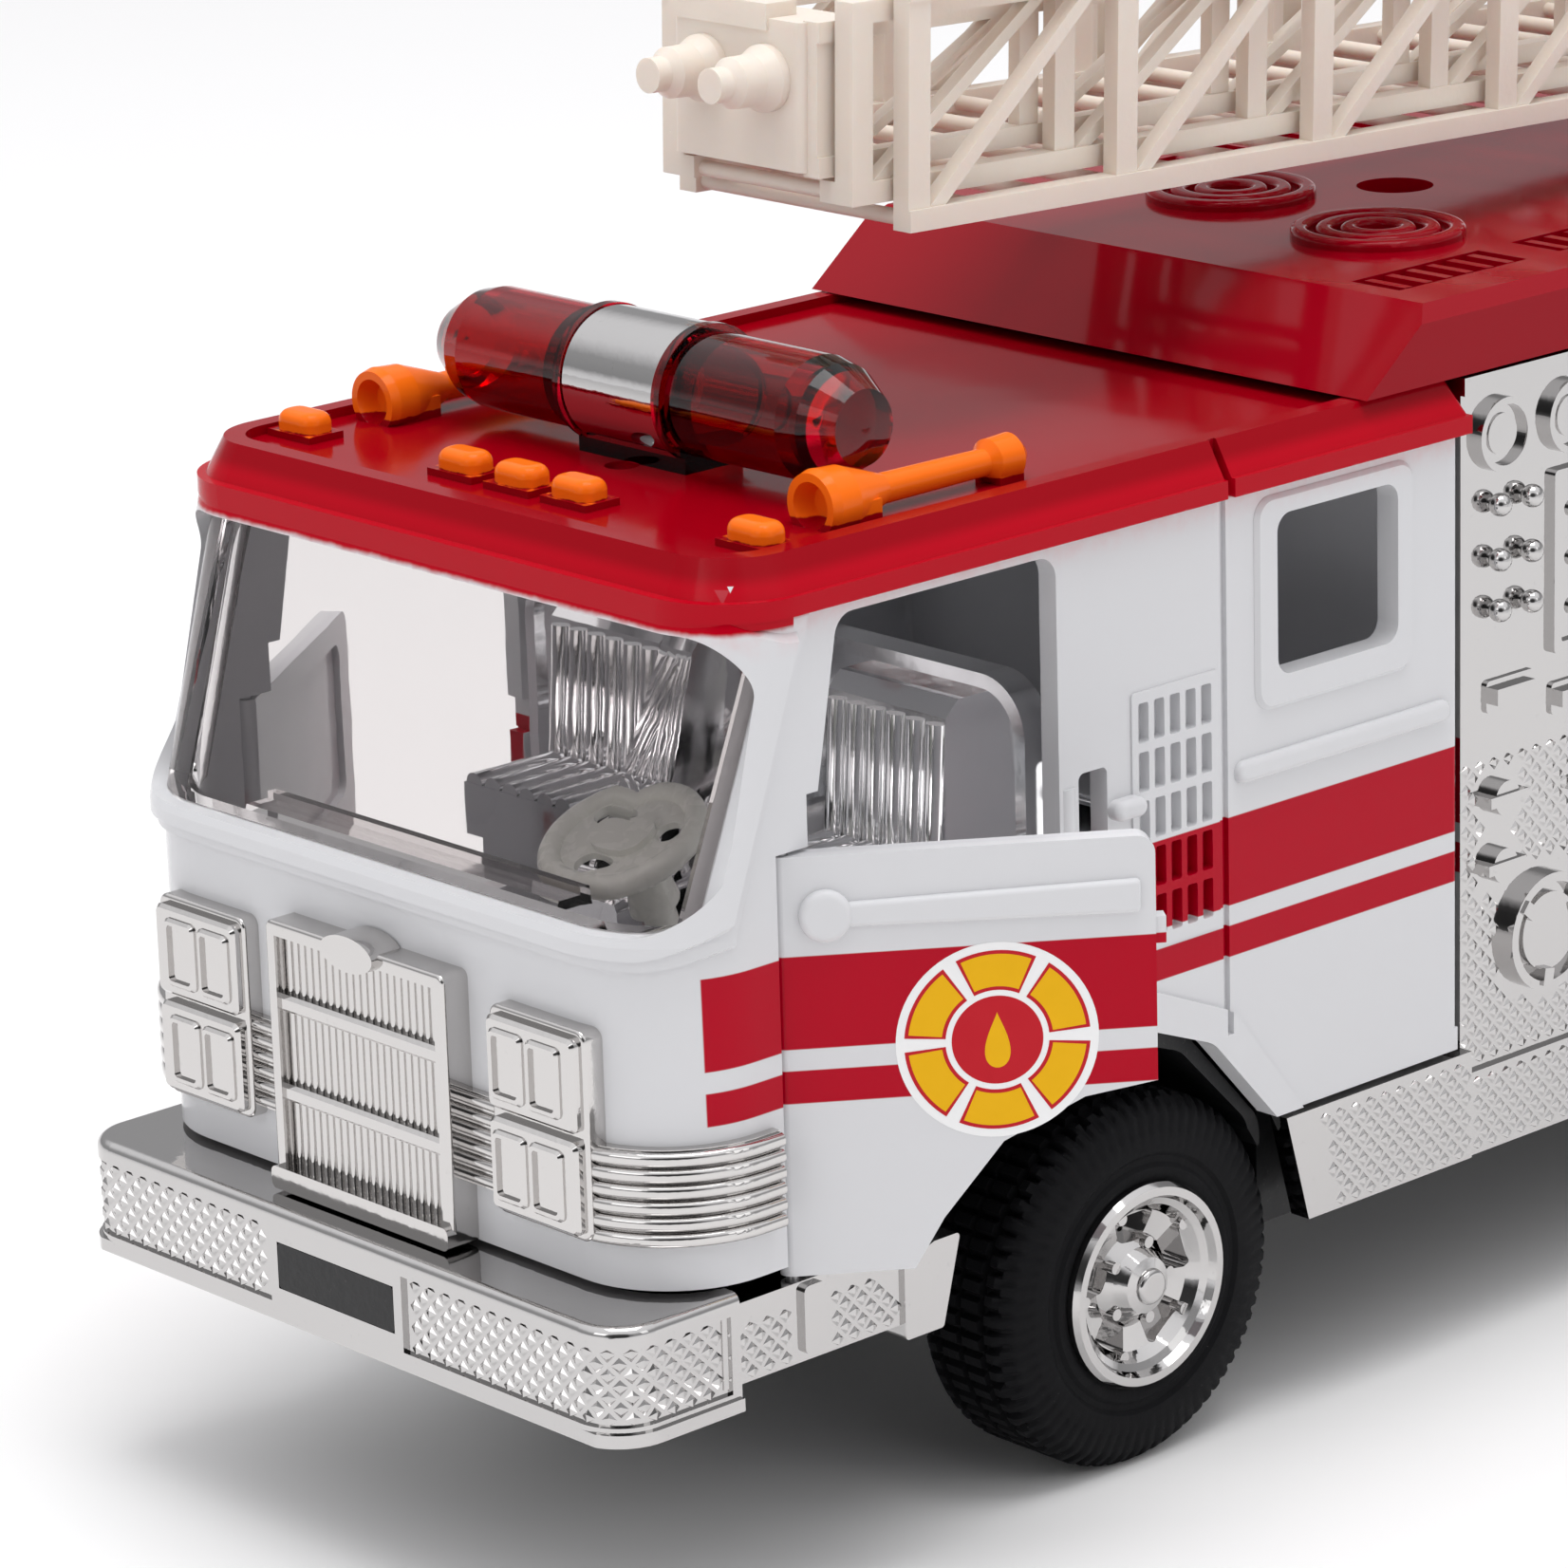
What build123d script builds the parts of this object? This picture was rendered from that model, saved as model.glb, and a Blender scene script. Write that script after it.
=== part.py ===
from build123d import *
import math
import os

# A die-cast toy fire engine with an aerial ladder, about 1:45.
# x runs across (plus x is the driver's side), z runs up from the ground.
# While the parts are drawn, y is measured back from the front face of the bumper.
# export_nodes then moves everything so that the origin is under the middle of the truck.

# ---- driving dimensions, millimetres -------------------------------------------------
LENGTH = 212.0            # bumper to tailboard
HALF_WIDTH = 28.0         # cab side
WALL = 1.6                # die-cast wall

CAB_BOTTOM = 24.5
CAB_FRONT = 5.0           # front wall below the windscreen
BELT_Z = 48.0             # the front leans back above this height
ROOF_LIP_Z = 68.2
ROOF_TOP_Z = 72.0
ROOF_FLOOR_Z = 71.3       # flat of the roof inside its raised rim
ROOF_FRONT = 12.0
SCREEN_LOW = 48.6         # windscreen opening
SCREEN_HIGH = 67.3
SCREEN_WRAP = 4.3         # how far the opening runs back round the corners
CAB_REAR = 80.8
CORNER_R = 8.0            # front corners below the windscreen
ROOF_CORNER_R = 5.5
GROOVE_Y = 57.0           # seam between the cab and the crew section

DOOR_FRONT = 15.8
DOOR_LENGTH = 25.0
DOOR_THICK = 1.6
DOOR_TOP = 52.2
DOOR_BOTTOM = 23.6
DOOR_OPEN = 36.0          # degrees, as the doors stand at rest
PIN_R = 0.45
HINGE_X = HALF_WIDTH - DOOR_THICK / 2
HINGE_Y = DOOR_FRONT + DOOR_THICK / 2
RUN_GAP = 0.05            # radial clearance of every running fit
PRESS = 0.01              # interference of every pressed fit
GAP = 0.3                 # clearance round moving parts

WHEEL_Y = 49.5
REAR_WHEEL_Y = 160.0
TYRE_R = 13.4
TYRE_WIDTH = 9.4
TYRE_OUT = 27.0           # outer face of the front tyres
TYRE_WIDTH_REAR = 8.2
TYRE_OUT_REAR = 26.8
TWIN_GAP = 0.6            # between the two rear tyres on one side
RIM_R = 7.4
AXLE_R = 1.0

ARCH_MID = 45.0
BUMPER_TOP = 24.1
BUMPER_BOTTOM = 16.0
BUMPER_HALF = 28.4

LIGHTBAR_Y = 31.5
LIGHTBAR_Z = 76.4
LIGHTBAR_R = 4.3
LIGHTBAR_HALF = 20.4

DECK_FRONT = 71.5
DECK_REAR = 206.0
DECK_BOTTOM = 72.1
DECK_TOP = 77.6
PANEL_FRONT = 81.5
PANEL_REAR = 203.5

MOTOR_Y0 = 142.8          # pull-back motor case
MOTOR_Y1 = 170.4
MOTOR_HALF = 7.2
MOTOR_SCREWS = [(-5.1, 144.9), (5.1, 144.9), (-5.1, 168.3), (5.1, 168.3)]
BASE_SCREWS = [(-9.0, 30.0), (9.0, 30.0), (-18.0, 190.0), (18.0, 190.0)]
GEAR_MODULE = 0.65
AXLE_TEETH = 10
SPRING_TEETH = 18
SPRING_Y = REAR_WHEEL_Y - GEAR_MODULE * (AXLE_TEETH + SPRING_TEETH) / 2
SHAFT_R = 0.8

TURN_Y = 172.0
TURN_R = 18.0
STUD_R = 2.4              # stud that the turntable turns on
PIVOT_Y = 184.0
PIVOT_Z = 89.7
LADDER_PIN_R = 1.3
LADDER_TILT = 2.0         # degrees nose-up at rest
LADDER_LOW = -8.5         # rail bottom below the pivot
LADDER_HIGH = 8.5
LADDER_FRONT = 44.5 - PIVOT_Y
MIDDLE_FRONT = LADDER_FRONT - 3.4
INNER_FRONT = LADDER_FRONT - 4.6
SECTION_REAR = -6.0

# the three ladder sections, measured from the ladder's pin
OUTER = dict(half=11.6, thick=1.7, low=LADDER_LOW, high=LADDER_HIGH, rail=1.5, post=2.0)
MIDDLE = dict(half=9.5, thick=1.6, low=LADDER_LOW + 1.9, high=LADDER_HIGH - 1.4, rail=1.5, post=1.9)
INNER = dict(half=7.5, thick=1.5, low=LADDER_LOW + 3.7, high=LADDER_HIGH - 2.8, rail=1.4, post=1.8)
BAYS = 7


# ---- helpers ---------------------------------------------------------------------------
def block(x0, x1, y0, y1, z0, z1):
    middle = Pos((x0 + x1) / 2, (y0 + y1) / 2, (z0 + z1) / 2)
    return middle * Box(x1 - x0, y1 - y0, z1 - z0)


def outline(points, radius=0):
    face = make_face(Polyline(*points, close=True))
    if radius:
        face = fillet(face.vertices(), radius)
    return face


def side_prism(points, x0, x1, radius=0):
    """A (y, z) outline carried from x0 to x1."""
    return extrude(Plane.YZ.offset(x0) * outline(points, radius), amount=x1 - x0, dir=(1, 0, 0))


def front_prism(points, y0, y1, radius=0):
    """An (x, z) outline carried back from y0 to y1."""
    return extrude(Plane.XZ.offset(-y0) * outline(points, radius), amount=y1 - y0, dir=(0, 1, 0))


def plan_prism(points, z0, z1, radius=0):
    """An (x, y) outline carried up from z0 to z1."""
    return extrude(Plane.XY.offset(z0) * outline(points, radius), amount=z1 - z0, dir=(0, 0, 1))


def rectangle(a0, a1, b0, b1):
    return [(a0, b0), (a1, b0), (a1, b1), (a0, b1)]


def along_x(x0, x1, y, z, radius):
    tube = Rot(0, 90, 0) * Cylinder(radius, x1 - x0)
    return Pos((x0 + x1) / 2, y, z) * tube


def along_y(x, y0, y1, z, radius):
    tube = Rot(90, 0, 0) * Cylinder(radius, y1 - y0)
    return Pos(x, (y0 + y1) / 2, z) * tube


def along_z(x, y, z0, z1, radius):
    return Pos(x, y, (z0 + z1) / 2) * Cylinder(radius, z1 - z0)


def mirrored(shape):
    return mirror(shape, about=Plane.YZ)


def both_sides(shape):
    return shape + mirrored(shape)


def turned(profile):
    """Revolve (x, radius) points about the x axis."""
    return revolve(outline(profile), axis=Axis.X)


def slot_prism(y0, y1, z0, z1, x0, x1):
    """A bar with half-round ends, lying along y."""
    radius = (z1 - z0) / 2 - 0.01
    return side_prism(rectangle(y0, y1, z0, z1), x0, x1, radius)


# ---- cab shell -------------------------------------------------------------------------
def cab_outline(inset, z, extra=0.0):
    """Plan outline of the cab at height z, moved in by inset."""
    lean = max(0.0, z - BELT_Z) / (ROOF_LIP_Z - BELT_Z)
    front = CAB_FRONT + lean * (ROOF_FRONT - CAB_FRONT) + inset - extra
    side = HALF_WIDTH - inset
    rear = CAB_REAR - inset
    face = make_face(Polyline(*rectangle(-side, side, front, rear), close=True))
    front_corners = face.vertices().sort_by(Axis.Y)[:2]
    corner = CORNER_R + lean * (ROOF_CORNER_R - CORNER_R) - inset
    face = fillet(front_corners, corner)
    rear_corners = face.vertices().sort_by(Axis.Y)[-2:]
    return Plane.XY.offset(z) * fillet(rear_corners, 0.5)


def cab_block(inset, z0, z1):
    """The cab's solid form between two heights, moved in by inset."""
    body = None
    if z0 < BELT_Z:
        body = extrude(cab_outline(inset, z0), amount=min(z1, BELT_Z) - z0)
    if z1 > BELT_Z:
        low = max(z0, BELT_Z)
        lean = loft([cab_outline(inset, low), cab_outline(inset, z1)])
        body = lean if body is None else body + lean
    return body


def arch_points(grow, middle=ARCH_MID):
    """Wheel arch: a flat-topped polygon, later rounded."""
    low = 5.0
    return [
        (middle - 17.3 - grow, low),
        (middle - 17.3 - grow, 22.0),
        (middle - 10.3 - grow * 0.8, 29.8 + grow * 0.7),
        (middle - 4.0 - grow * 0.3, 32.3 + grow),
        (middle + 4.0 + grow * 0.3, 32.3 + grow),
        (middle + 10.3 + grow * 0.8, 29.8 + grow * 0.7),
        (middle + 17.3 + grow, 22.0),
        (middle + 17.3 + grow, low),
    ]


def arch_prism(grow, x0, x1, floor=0.0, middle=ARCH_MID):
    arch = side_prism(arch_points(grow, middle), x0, x1, 2.8)
    if floor:
        arch = arch - block(x0 - 1, x1 + 1, middle - 30, middle + 30, 0, floor)
    return arch


def door_outline(gap):
    """Side outline of the door; a positive gap makes the opening, which runs into the wheel arch."""
    rear = DOOR_FRONT + DOOR_LENGTH + gap
    front = DOOR_FRONT - gap
    bottom = DOOR_BOTTOM - gap
    arch_edge = [(24.6, bottom), (26.6, 27.0), (30.6, 32.0), (36.0, 34.7)]
    if gap:
        arch_edge = [(30.0, bottom), (33.5, 30.2), (36.0, 34.7 - gap)]
    top = [(rear, 35.5 - gap), (rear, DOOR_TOP + gap), (front, DOOR_TOP + gap)]
    return [(front, bottom)] + arch_edge + top


def window_outline():
    """Side window, open above the half door."""
    return [(18.2, 50.0), (41.1, 50.0), (41.1, 67.3), (21.4, 67.3)]


def roof_cap():
    lip = extrude(cab_outline(-0.9, ROOF_LIP_Z, 0.2), amount=1.3)
    brow = extrude(cab_outline(-0.7, ROOF_LIP_Z - 0.55, 0.2), amount=1.0)
    lip = lip + (brow & block(-30, 30, 0, 17.0, 60, 80))
    lip = lip & block(-30, 30, 0, PANEL_FRONT - 0.2, 60, 80)
    crown = loft([cab_outline(-0.6, ROOF_LIP_Z + 1.2, 0.2), roof_plan(0.9, ROOF_TOP_Z)])
    dish = extrude(roof_plan(2.4, ROOF_FLOOR_Z), amount=3)
    cap = lip + crown - dish
    notch = block(-30, 30, GROOVE_Y - 0.35, GROOVE_Y + 0.35, ROOF_LIP_Z - 1, ROOF_TOP_Z + 1)
    core = block(-26.9, 26.9, GROOVE_Y - 1, GROOVE_Y + 1, ROOF_LIP_Z - 1, ROOF_TOP_Z + 1)
    return cap - (notch - core)


def roof_plan(inset, z):
    side = HALF_WIDTH - inset
    points = rectangle(-side, side, ROOF_FRONT + inset, CAB_REAR - 0.3)
    face = make_face(Polyline(*points, close=True))
    front_corners = face.vertices().sort_by(Axis.Y)[:2]
    face = fillet(front_corners, ROOF_CORNER_R - inset)
    rear_corners = face.vertices().sort_by(Axis.Y)[-2:]
    return Plane.XY.offset(z) * fillet(rear_corners, 0.5)


def clearance_light(x, y):
    """A small cast loaf standing on a thin foot."""
    foot = block(x - 2.3, x + 2.3, y - 1.5, y + 1.5, ROOF_FLOOR_Z - 0.3, ROOF_FLOOR_Z + 0.5)
    loaf = block(x - 2.0, x + 2.0, y - 1.3, y + 1.3, ROOF_FLOOR_Z, ROOF_FLOOR_Z + 1.9)
    loaf = fillet(loaf.edges().filter_by(Axis.Z), 1.1)
    loaf = fillet(loaf.faces().sort_by(Axis.Z)[-1].edges(), 0.8)
    return foot + loaf


def air_horn(x):
    """A bell facing forward with a long tube behind it."""
    z = ROOF_FLOOR_Z + 1.5
    profile = [
        (0, 0), (0, 2.2), (0.7, 2.4), (2.5, 2.3), (4.6, 1.6), (6.2, 1.05), (15.5, 0.95),
        (16.0, 1.5), (18.0, 1.6), (18.8, 0.9), (18.9, 0),
    ]
    horn = Rot(0, 0, 90) * turned(profile)
    mouth = Pos(0, 0.2, 0) * Rot(90, 0, 0) * Cone(1.1, 1.7, 1.6)
    foot = block(-1.9, 1.9, 1.0, 4.6, -1.8, 0) + block(-1.2, 1.2, 16.0, 18.2, -1.8, 0)
    horn = horn + foot - Pos(0, 0.4, 0) * mouth
    return Pos(x, 24.6, z) * horn


def louvres():
    """Five columns of upright slots behind the left door."""
    cuts = []
    for column in range(5):
        for row in range(5):
            y = 49.0 + column * 1.52
            z = 38.9 + row * 3.45
            cuts.append(side_prism(rectangle(y - 0.5, y + 0.5, z, z + 2.8), 27.3, 29, 0.2))
    return cuts


def side_mouldings():
    """Belt rail, grab rail, window frame, latch post and louvre panel of the left side."""
    rail = slot_prism(57.9, 79.6, 47.7, 49.3, 27.5, 28.6)
    rail = fillet(rail.faces().sort_by(Axis.X)[-1].edges(), 0.45)
    grab = slot_prism(45.6, 48.6, 47.9, 49.3, 27.5, 29.1)
    grab = fillet(grab.faces().sort_by(Axis.X)[-1].edges(), 0.5)
    frame = side_prism(rectangle(60.0, 76.0, 52.3, 67.4), 27.5, 28.35, 1.6)
    frame = chamfer(frame.faces().sort_by(Axis.X)[-1].edges(), 0.3)
    post = along_z(27.3, 42.0, 44.5, 51.0, 0.9)
    panel = side_prism(rectangle(47.9, 56.3, 38.0, 56.3), 27.5, 28.15, 0.3)
    return [rail, grab, frame, post, panel]


def arch_lip():
    """Raised edge of the front wheel arch, behind the door."""
    lip = arch_prism(2.6, 27.0, 28.35, 22.8) - arch_prism(0, 26.0, 30)
    return lip - block(20, 30, 0, 41.5, 0, 90)


def screen_opening(grow=0.0, radius=4.0):
    """The windscreen opening, which wraps round both front corners."""
    low = SCREEN_LOW - grow
    high = SCREEN_HIGH + grow
    front = front_prism(rectangle(-28.4 - grow, 28.4 + grow, low, high), -5, 25, radius)
    back = SCREEN_WRAP + grow
    limit = [
        (-5, 40), (CAB_FRONT + back, 40), (CAB_FRONT + back, BELT_Z),
        (ROOF_FRONT + back, ROOF_LIP_Z), (ROOF_FRONT + back, 75), (-5, 75),
    ]
    return front & side_prism(limit, -32, 32)


def screen_surround():
    """Raised bead round the windscreen, in two steps."""
    outer = cab_block(-0.5, 44.0, ROOF_LIP_Z + 0.3) & screen_opening(2.3, 6.0)
    inner = cab_block(-0.95, 44.0, ROOF_LIP_Z + 0.3) & screen_opening(1.5, 5.3)
    return outer + inner


def cab_openings():
    """Windscreen, doorways, side windows, latch recesses, wheel arches and body seams."""
    cuts = [screen_opening()]
    doorway = side_prism(door_outline(GAP), 20, 31)
    window = side_prism(window_outline(), 20, 31, 1.6)
    below_window = block(20, 31, DOOR_FRONT + 2.5, 41.1, 40, 56)
    crew_window = side_prism(rectangle(62.0, 74.2, 54.6, 66.0), 20, 31, 1.3)
    recess = side_prism(rectangle(42.9, 45.6, 45.2, 51.8), 20, 31, 0.5)
    arch = arch_prism(0, 20, 31)
    groove = block(27.6, 31, GROOVE_Y - 0.3, GROOVE_Y + 0.3, 30, ROOF_LIP_Z)
    latch_notch = block(26.2, 31, 41.0, 41.9, 44.4, 47.0)
    for shape in (doorway, window, below_window, crew_window, recess, latch_notch, arch, groove):
        cuts.append(shape)
        cuts.append(mirrored(shape))
    return cuts


def cab_shell():
    """Hollow die-cast cab and crew section in one piece with its roof."""
    outer = cab_block(0, CAB_BOTTOM, ROOF_LIP_Z + 0.4)
    rear_sill = block(-HALF_WIDTH, HALF_WIDTH, 56, CAB_REAR, 22.8, CAB_BOTTOM)
    shell = outer + rear_sill + screen_surround() + roof_cap()
    for piece in side_mouldings() + [arch_lip()]:
        shell = shell + piece + mirrored(piece)
    shell = shell - cab_block(WALL, 20, ROOF_FLOOR_Z - 2.0)
    rear_cut = block(-HALF_WIDTH + WALL, HALF_WIDTH - WALL, 40, CAB_REAR - WALL, 20, 30)
    shell = shell - rear_cut
    for cut in cab_openings():
        shell = shell - cut
    for cut in louvres():
        shell = shell - cut - mirrored(cut)
    for x in (-23.0, -5.8, 0.0, 5.8, 23.0):
        shell = shell + clearance_light(x, 19.2)
    shell = shell + air_horn(22.3) + air_horn(-22.3)
    for side in (-1, 1):
        shell = shell - along_z(side * HINGE_X, HINGE_Y, 50, 54.0, PIN_R)
    for y in (28.0, 36.0):
        shell = shell - along_z(0, y, ROOF_FLOOR_Z - 3, ROOF_FLOOR_Z + 1, 1.2)
    return shell


def windshield():
    """Clear insert: a pane flush in the opening with a flange glued behind the wall."""
    form = cab_block(0.1, 48.3, 67.9)
    pane = form - cab_block(WALL + 0.05, 47, 69)
    flange = cab_block(WALL + 0.05, 48.3, 68.9) - cab_block(WALL + 1.0, 47, 69.2)
    flange = flange & screen_opening(1.4, 4.6)
    shelf = block(-16.2, 16.2, 6.9, 10.4, 48.0, 48.7) + block(-16.2, 16.2, 9.7, 10.4, 48.0, 49.2)
    return (pane & screen_opening(-0.12, 3.9)) + flange + shelf


# ---- chrome front ----------------------------------------------------------------------
def headlight(x0, x1):
    """An upper and a lower panel, each with two lenses inside raised beads."""
    housing = front_prism(rectangle(x0, x1, 27.8, 42.2), 3.7, 9.5, 0.8)
    parts = [fillet(housing.faces().sort_by(Axis.Y)[0].edges(), 0.3)]
    middle = (x0 + x1) / 2 - 0.35
    for low, high in ((28.3, 34.7), (35.3, 41.7)):
        panel = front_prism(rectangle(x0 + 0.35, x1 - 0.35, low, high), 3.0, 4.5, 0.6)
        parts.append(chamfer(panel.faces().sort_by(Axis.Y)[0].edges(), 0.25))
        for a, b in ((x0 + 0.9, middle - 0.2), (middle + 0.2, x1 - 1.6)):
            bead = front_prism(rectangle(a, b, low + 0.75, high - 0.75), 2.7, 3.5, 0.5)
            bead = chamfer(bead.faces().sort_by(Axis.Y)[0].edges(), 0.2)
            lens = front_prism(rectangle(a + 0.45, b - 0.45, low + 1.2, high - 1.2), 2, 2.95, 0.3)
            parts.append(bead - lens)
    return parts


def grille():
    """Framed upright bars with two cross bars, a plain oval on top and a foot."""
    half = 9.3
    frame = front_prism(rectangle(-half, half, 24.3, 43.3), 2.8, 6.0, 0.6)
    frame = fillet(frame.faces().sort_by(Axis.Y)[0].edges(), 0.3)
    frame = frame - front_prism(rectangle(-half + 1.0, half - 1.0, 25.9, 42.3), 2, 3.8)
    parts = [frame]
    for z in (31.1, 37.5):
        bar = front_prism(rectangle(-half + 0.6, half - 0.6, z - 0.6, z + 0.6), 3.0, 5.0)
        parts.append(chamfer(bar.faces().sort_by(Axis.Y)[0].edges(), 0.25))
    count = 23
    for i in range(count):
        x = -half + 1.0 + (2 * half - 2.0) * (i + 0.5) / count
        parts.append(along_z(x, 3.85, 25.6, 42.6, 0.27))
    foot = front_prism(rectangle(-half, half, 24.3, 25.9), 2.3, 5.0, 0.5)
    badge = Plane.XZ.offset(-2.3) * Pos(0, 42.9) * Ellipse(2.7, 1.25)
    parts += [foot, extrude(badge, amount=-2.6)]
    return parts


def ribbed_link(x0, x1):
    """Horizontal ribs joining the grille to a headlight."""
    back = block(x0, x1, 4.4, 6.0, 28.7, 35.2)
    parts = [back]
    for i in range(6):
        parts.append(along_x(x0, x1, 4.4, 29.3 + i * 1.08, 0.42))
    return parts


def side_marker():
    """Six round ribs that wrap round the front corner."""
    region = block(21.9, 31, 0, 14.5, 27.7, 34.6)
    parts = [cab_block(-0.7, 27.9, 34.4) & region]
    for i in range(6):
        z = 27.8 + i * 1.1
        rib = cab_block(-1.25, z, z + 0.98)
        edges = rib.faces().sort_by(Axis.Z)[0].edges() + rib.faces().sort_by(Axis.Z)[-1].edges()
        parts.append(fillet(edges, 0.42) & region)
    return parts


def front_fascia():
    """Grille, headlights and side markers in one chromed piece on the cab's front."""
    shape = None
    pieces = grille()
    for part in headlight(12.8, 22.2) + ribbed_link(9.0, 13.3) + side_marker():
        pieces += [part, mirrored(part)]
    for piece in pieces:
        shape = piece if shape is None else shape + piece
    return shape - cab_block(0, 20, 50)


def bumper_plan(inset, z0, z1, rear):
    side = BUMPER_HALF - inset
    face = make_face(Polyline(*rectangle(-side, side, inset, rear), close=True))
    corners = face.vertices().sort_by(Axis.Y)[:2]
    return extrude(Plane.XY.offset(z0) * fillet(corners, 3.6 - inset), amount=z1 - z0)


def front_bumper():
    """Hollow wrap-round bumper with recessed tread fields and a rail along each sill."""
    shell = bumper_plan(0, BUMPER_BOTTOM, BUMPER_TOP, 10.8)
    shell = fillet(shell.faces().sort_by(Axis.Z)[-1].edges().sort_by(Axis.Y)[:-1], 0.7)
    shell = shell - bumper_plan(1.5, BUMPER_BOTTOM - 1, BUMPER_TOP - 1.3, 12)
    field = bumper_plan(-1, 17.3, 22.7, 10.0) - bumper_plan(0.28, 17.0, 23.0, 12)
    shell = shell - (field - block(-7.0, 7.0, -2, 3, 16, 24))
    shell = shell - block(-6.15, 6.15, -1, 0.35, 18.4, 21.75)
    lip = bumper_plan(-0.25, BUMPER_BOTTOM, BUMPER_BOTTOM + 0.9, 10.8)
    lip = lip & block(-30, 30, 0, 12, 10, 20)
    lip = lip - bumper_plan(0.6, BUMPER_BOTTOM - 1, BUMPER_BOTTOM + 2, 12)
    shape = shell + lip
    skirt = block(26.8, 28.2, 9.4, 25.6, 17.7, 23.3)
    post_side = [(28.2, 22.9), (30.6, 22.9), (28.9, 16.6), (25.4, 16.6), (25.4, 22.0)]
    post = side_prism(post_side, 26.3, 28.5, 0.3)
    ledge = block(25.4, 28.2, 9.4, 25.6, 21.8, 23.3)
    step = side_prism(rectangle(16.3, 18.3, 18.2, 23.0), 28.0, 28.6, 0.5)
    for piece in (skirt, post, ledge, step):
        shape = shape + piece + mirrored(piece)
    for side in (-1, 1):
        shape = shape - along_z(side * HINGE_X, HINGE_Y, 22.3, 24.0, PIN_R)
    return shape


def number_plate():
    plate = block(-6.1, 6.1, 0.0, 0.34, 18.45, 21.7)
    return fillet(plate.edges().filter_by(Axis.Y), 0.3)


# ---- light bar -------------------------------------------------------------------------
def lightbar_lens():
    """Two hollow lenses with faceted ends, joined over a pair of feet."""
    r = LIGHTBAR_R
    half = LIGHTBAR_HALF
    profile = [(-half, 0), (-half + 0.2, 2.6), (-half + 2.6, r - 0.35), (-half + 4.2, r),
               (half - 4.2, r), (half - 2.6, r - 0.35), (half - 0.2, 2.6), (half, 0)]
    tube = turned(profile)
    for side in (-1, 1):
        x = side * (half + 5.4) / 2
        tube = tube - Pos(x, 0, 0) * (Rot(0, 90, 0) * Cylinder(r - 0.9, half - 9.6))
        flange = Pos(side * 5.0, 0, 0) * (Rot(0, 90, 0) * Cylinder(r + 0.5, 0.8))
        tube = tube + flange
    tube = Pos(0, LIGHTBAR_Y, LIGHTBAR_Z) * tube
    foot = block(-5.4, 5.4, LIGHTBAR_Y - 2.6, LIGHTBAR_Y + 2.6, ROOF_FLOOR_Z, LIGHTBAR_Z - 1.5)
    return tube + foot


def lightbar_band():
    """Chrome saddle over the middle."""
    ring = Rot(0, 90, 0) * Cylinder(LIGHTBAR_R + 0.4, 9.1)
    ring = Pos(0, LIGHTBAR_Y, LIGHTBAR_Z) * ring
    ring = ring - along_x(-6, 6, LIGHTBAR_Y, LIGHTBAR_Z, LIGHTBAR_R)
    return ring - block(-6, 6, LIGHTBAR_Y - 3.1, LIGHTBAR_Y + 3.1, ROOF_FLOOR_Z - 1, LIGHTBAR_Z - 2.0)


# ---- interior --------------------------------------------------------------------------
def seat(x, width):
    """Ribbed cushion and ribbed backrest, each with a bevelled edge."""
    cushion = block(x - width / 2, x + width / 2, 29.5, 41.0, 41.0, 44.8)
    base = block(x - width / 2 + 0.8, x + width / 2 - 0.8, 30.3, 41.0, 34.0, 41.2)
    back = side_prism([(37.4, 44), (41.2, 44), (41.4, 56.3), (39.4, 56.3), (38.2, 55.2)],
                      x - width / 2, x + width / 2)
    parts = [cushion, base, back]
    ribs = 6
    for i in range(ribs):
        rib_x = x - width / 2 + width * (i + 0.5) / ribs
        parts.append(along_y(rib_x, 29.6, 38.5, 44.8, width / ribs * 0.42))
        rib = Pos(rib_x, 38.0, 49.6) * Rot(-4.0, 0, 0) * Cylinder(width / ribs * 0.42, 10.2)
        parts.append(rib)
    return parts


def round_topped(half, z0, z1, y0, y1, radius):
    """An upright plate whose two top corners are rounded."""
    plate = block(-half, half, y0, y1, z0, z1)
    return fillet(plate.edges().filter_by(Axis.Y).sort_by(Axis.Z)[-2:], radius)


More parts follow.
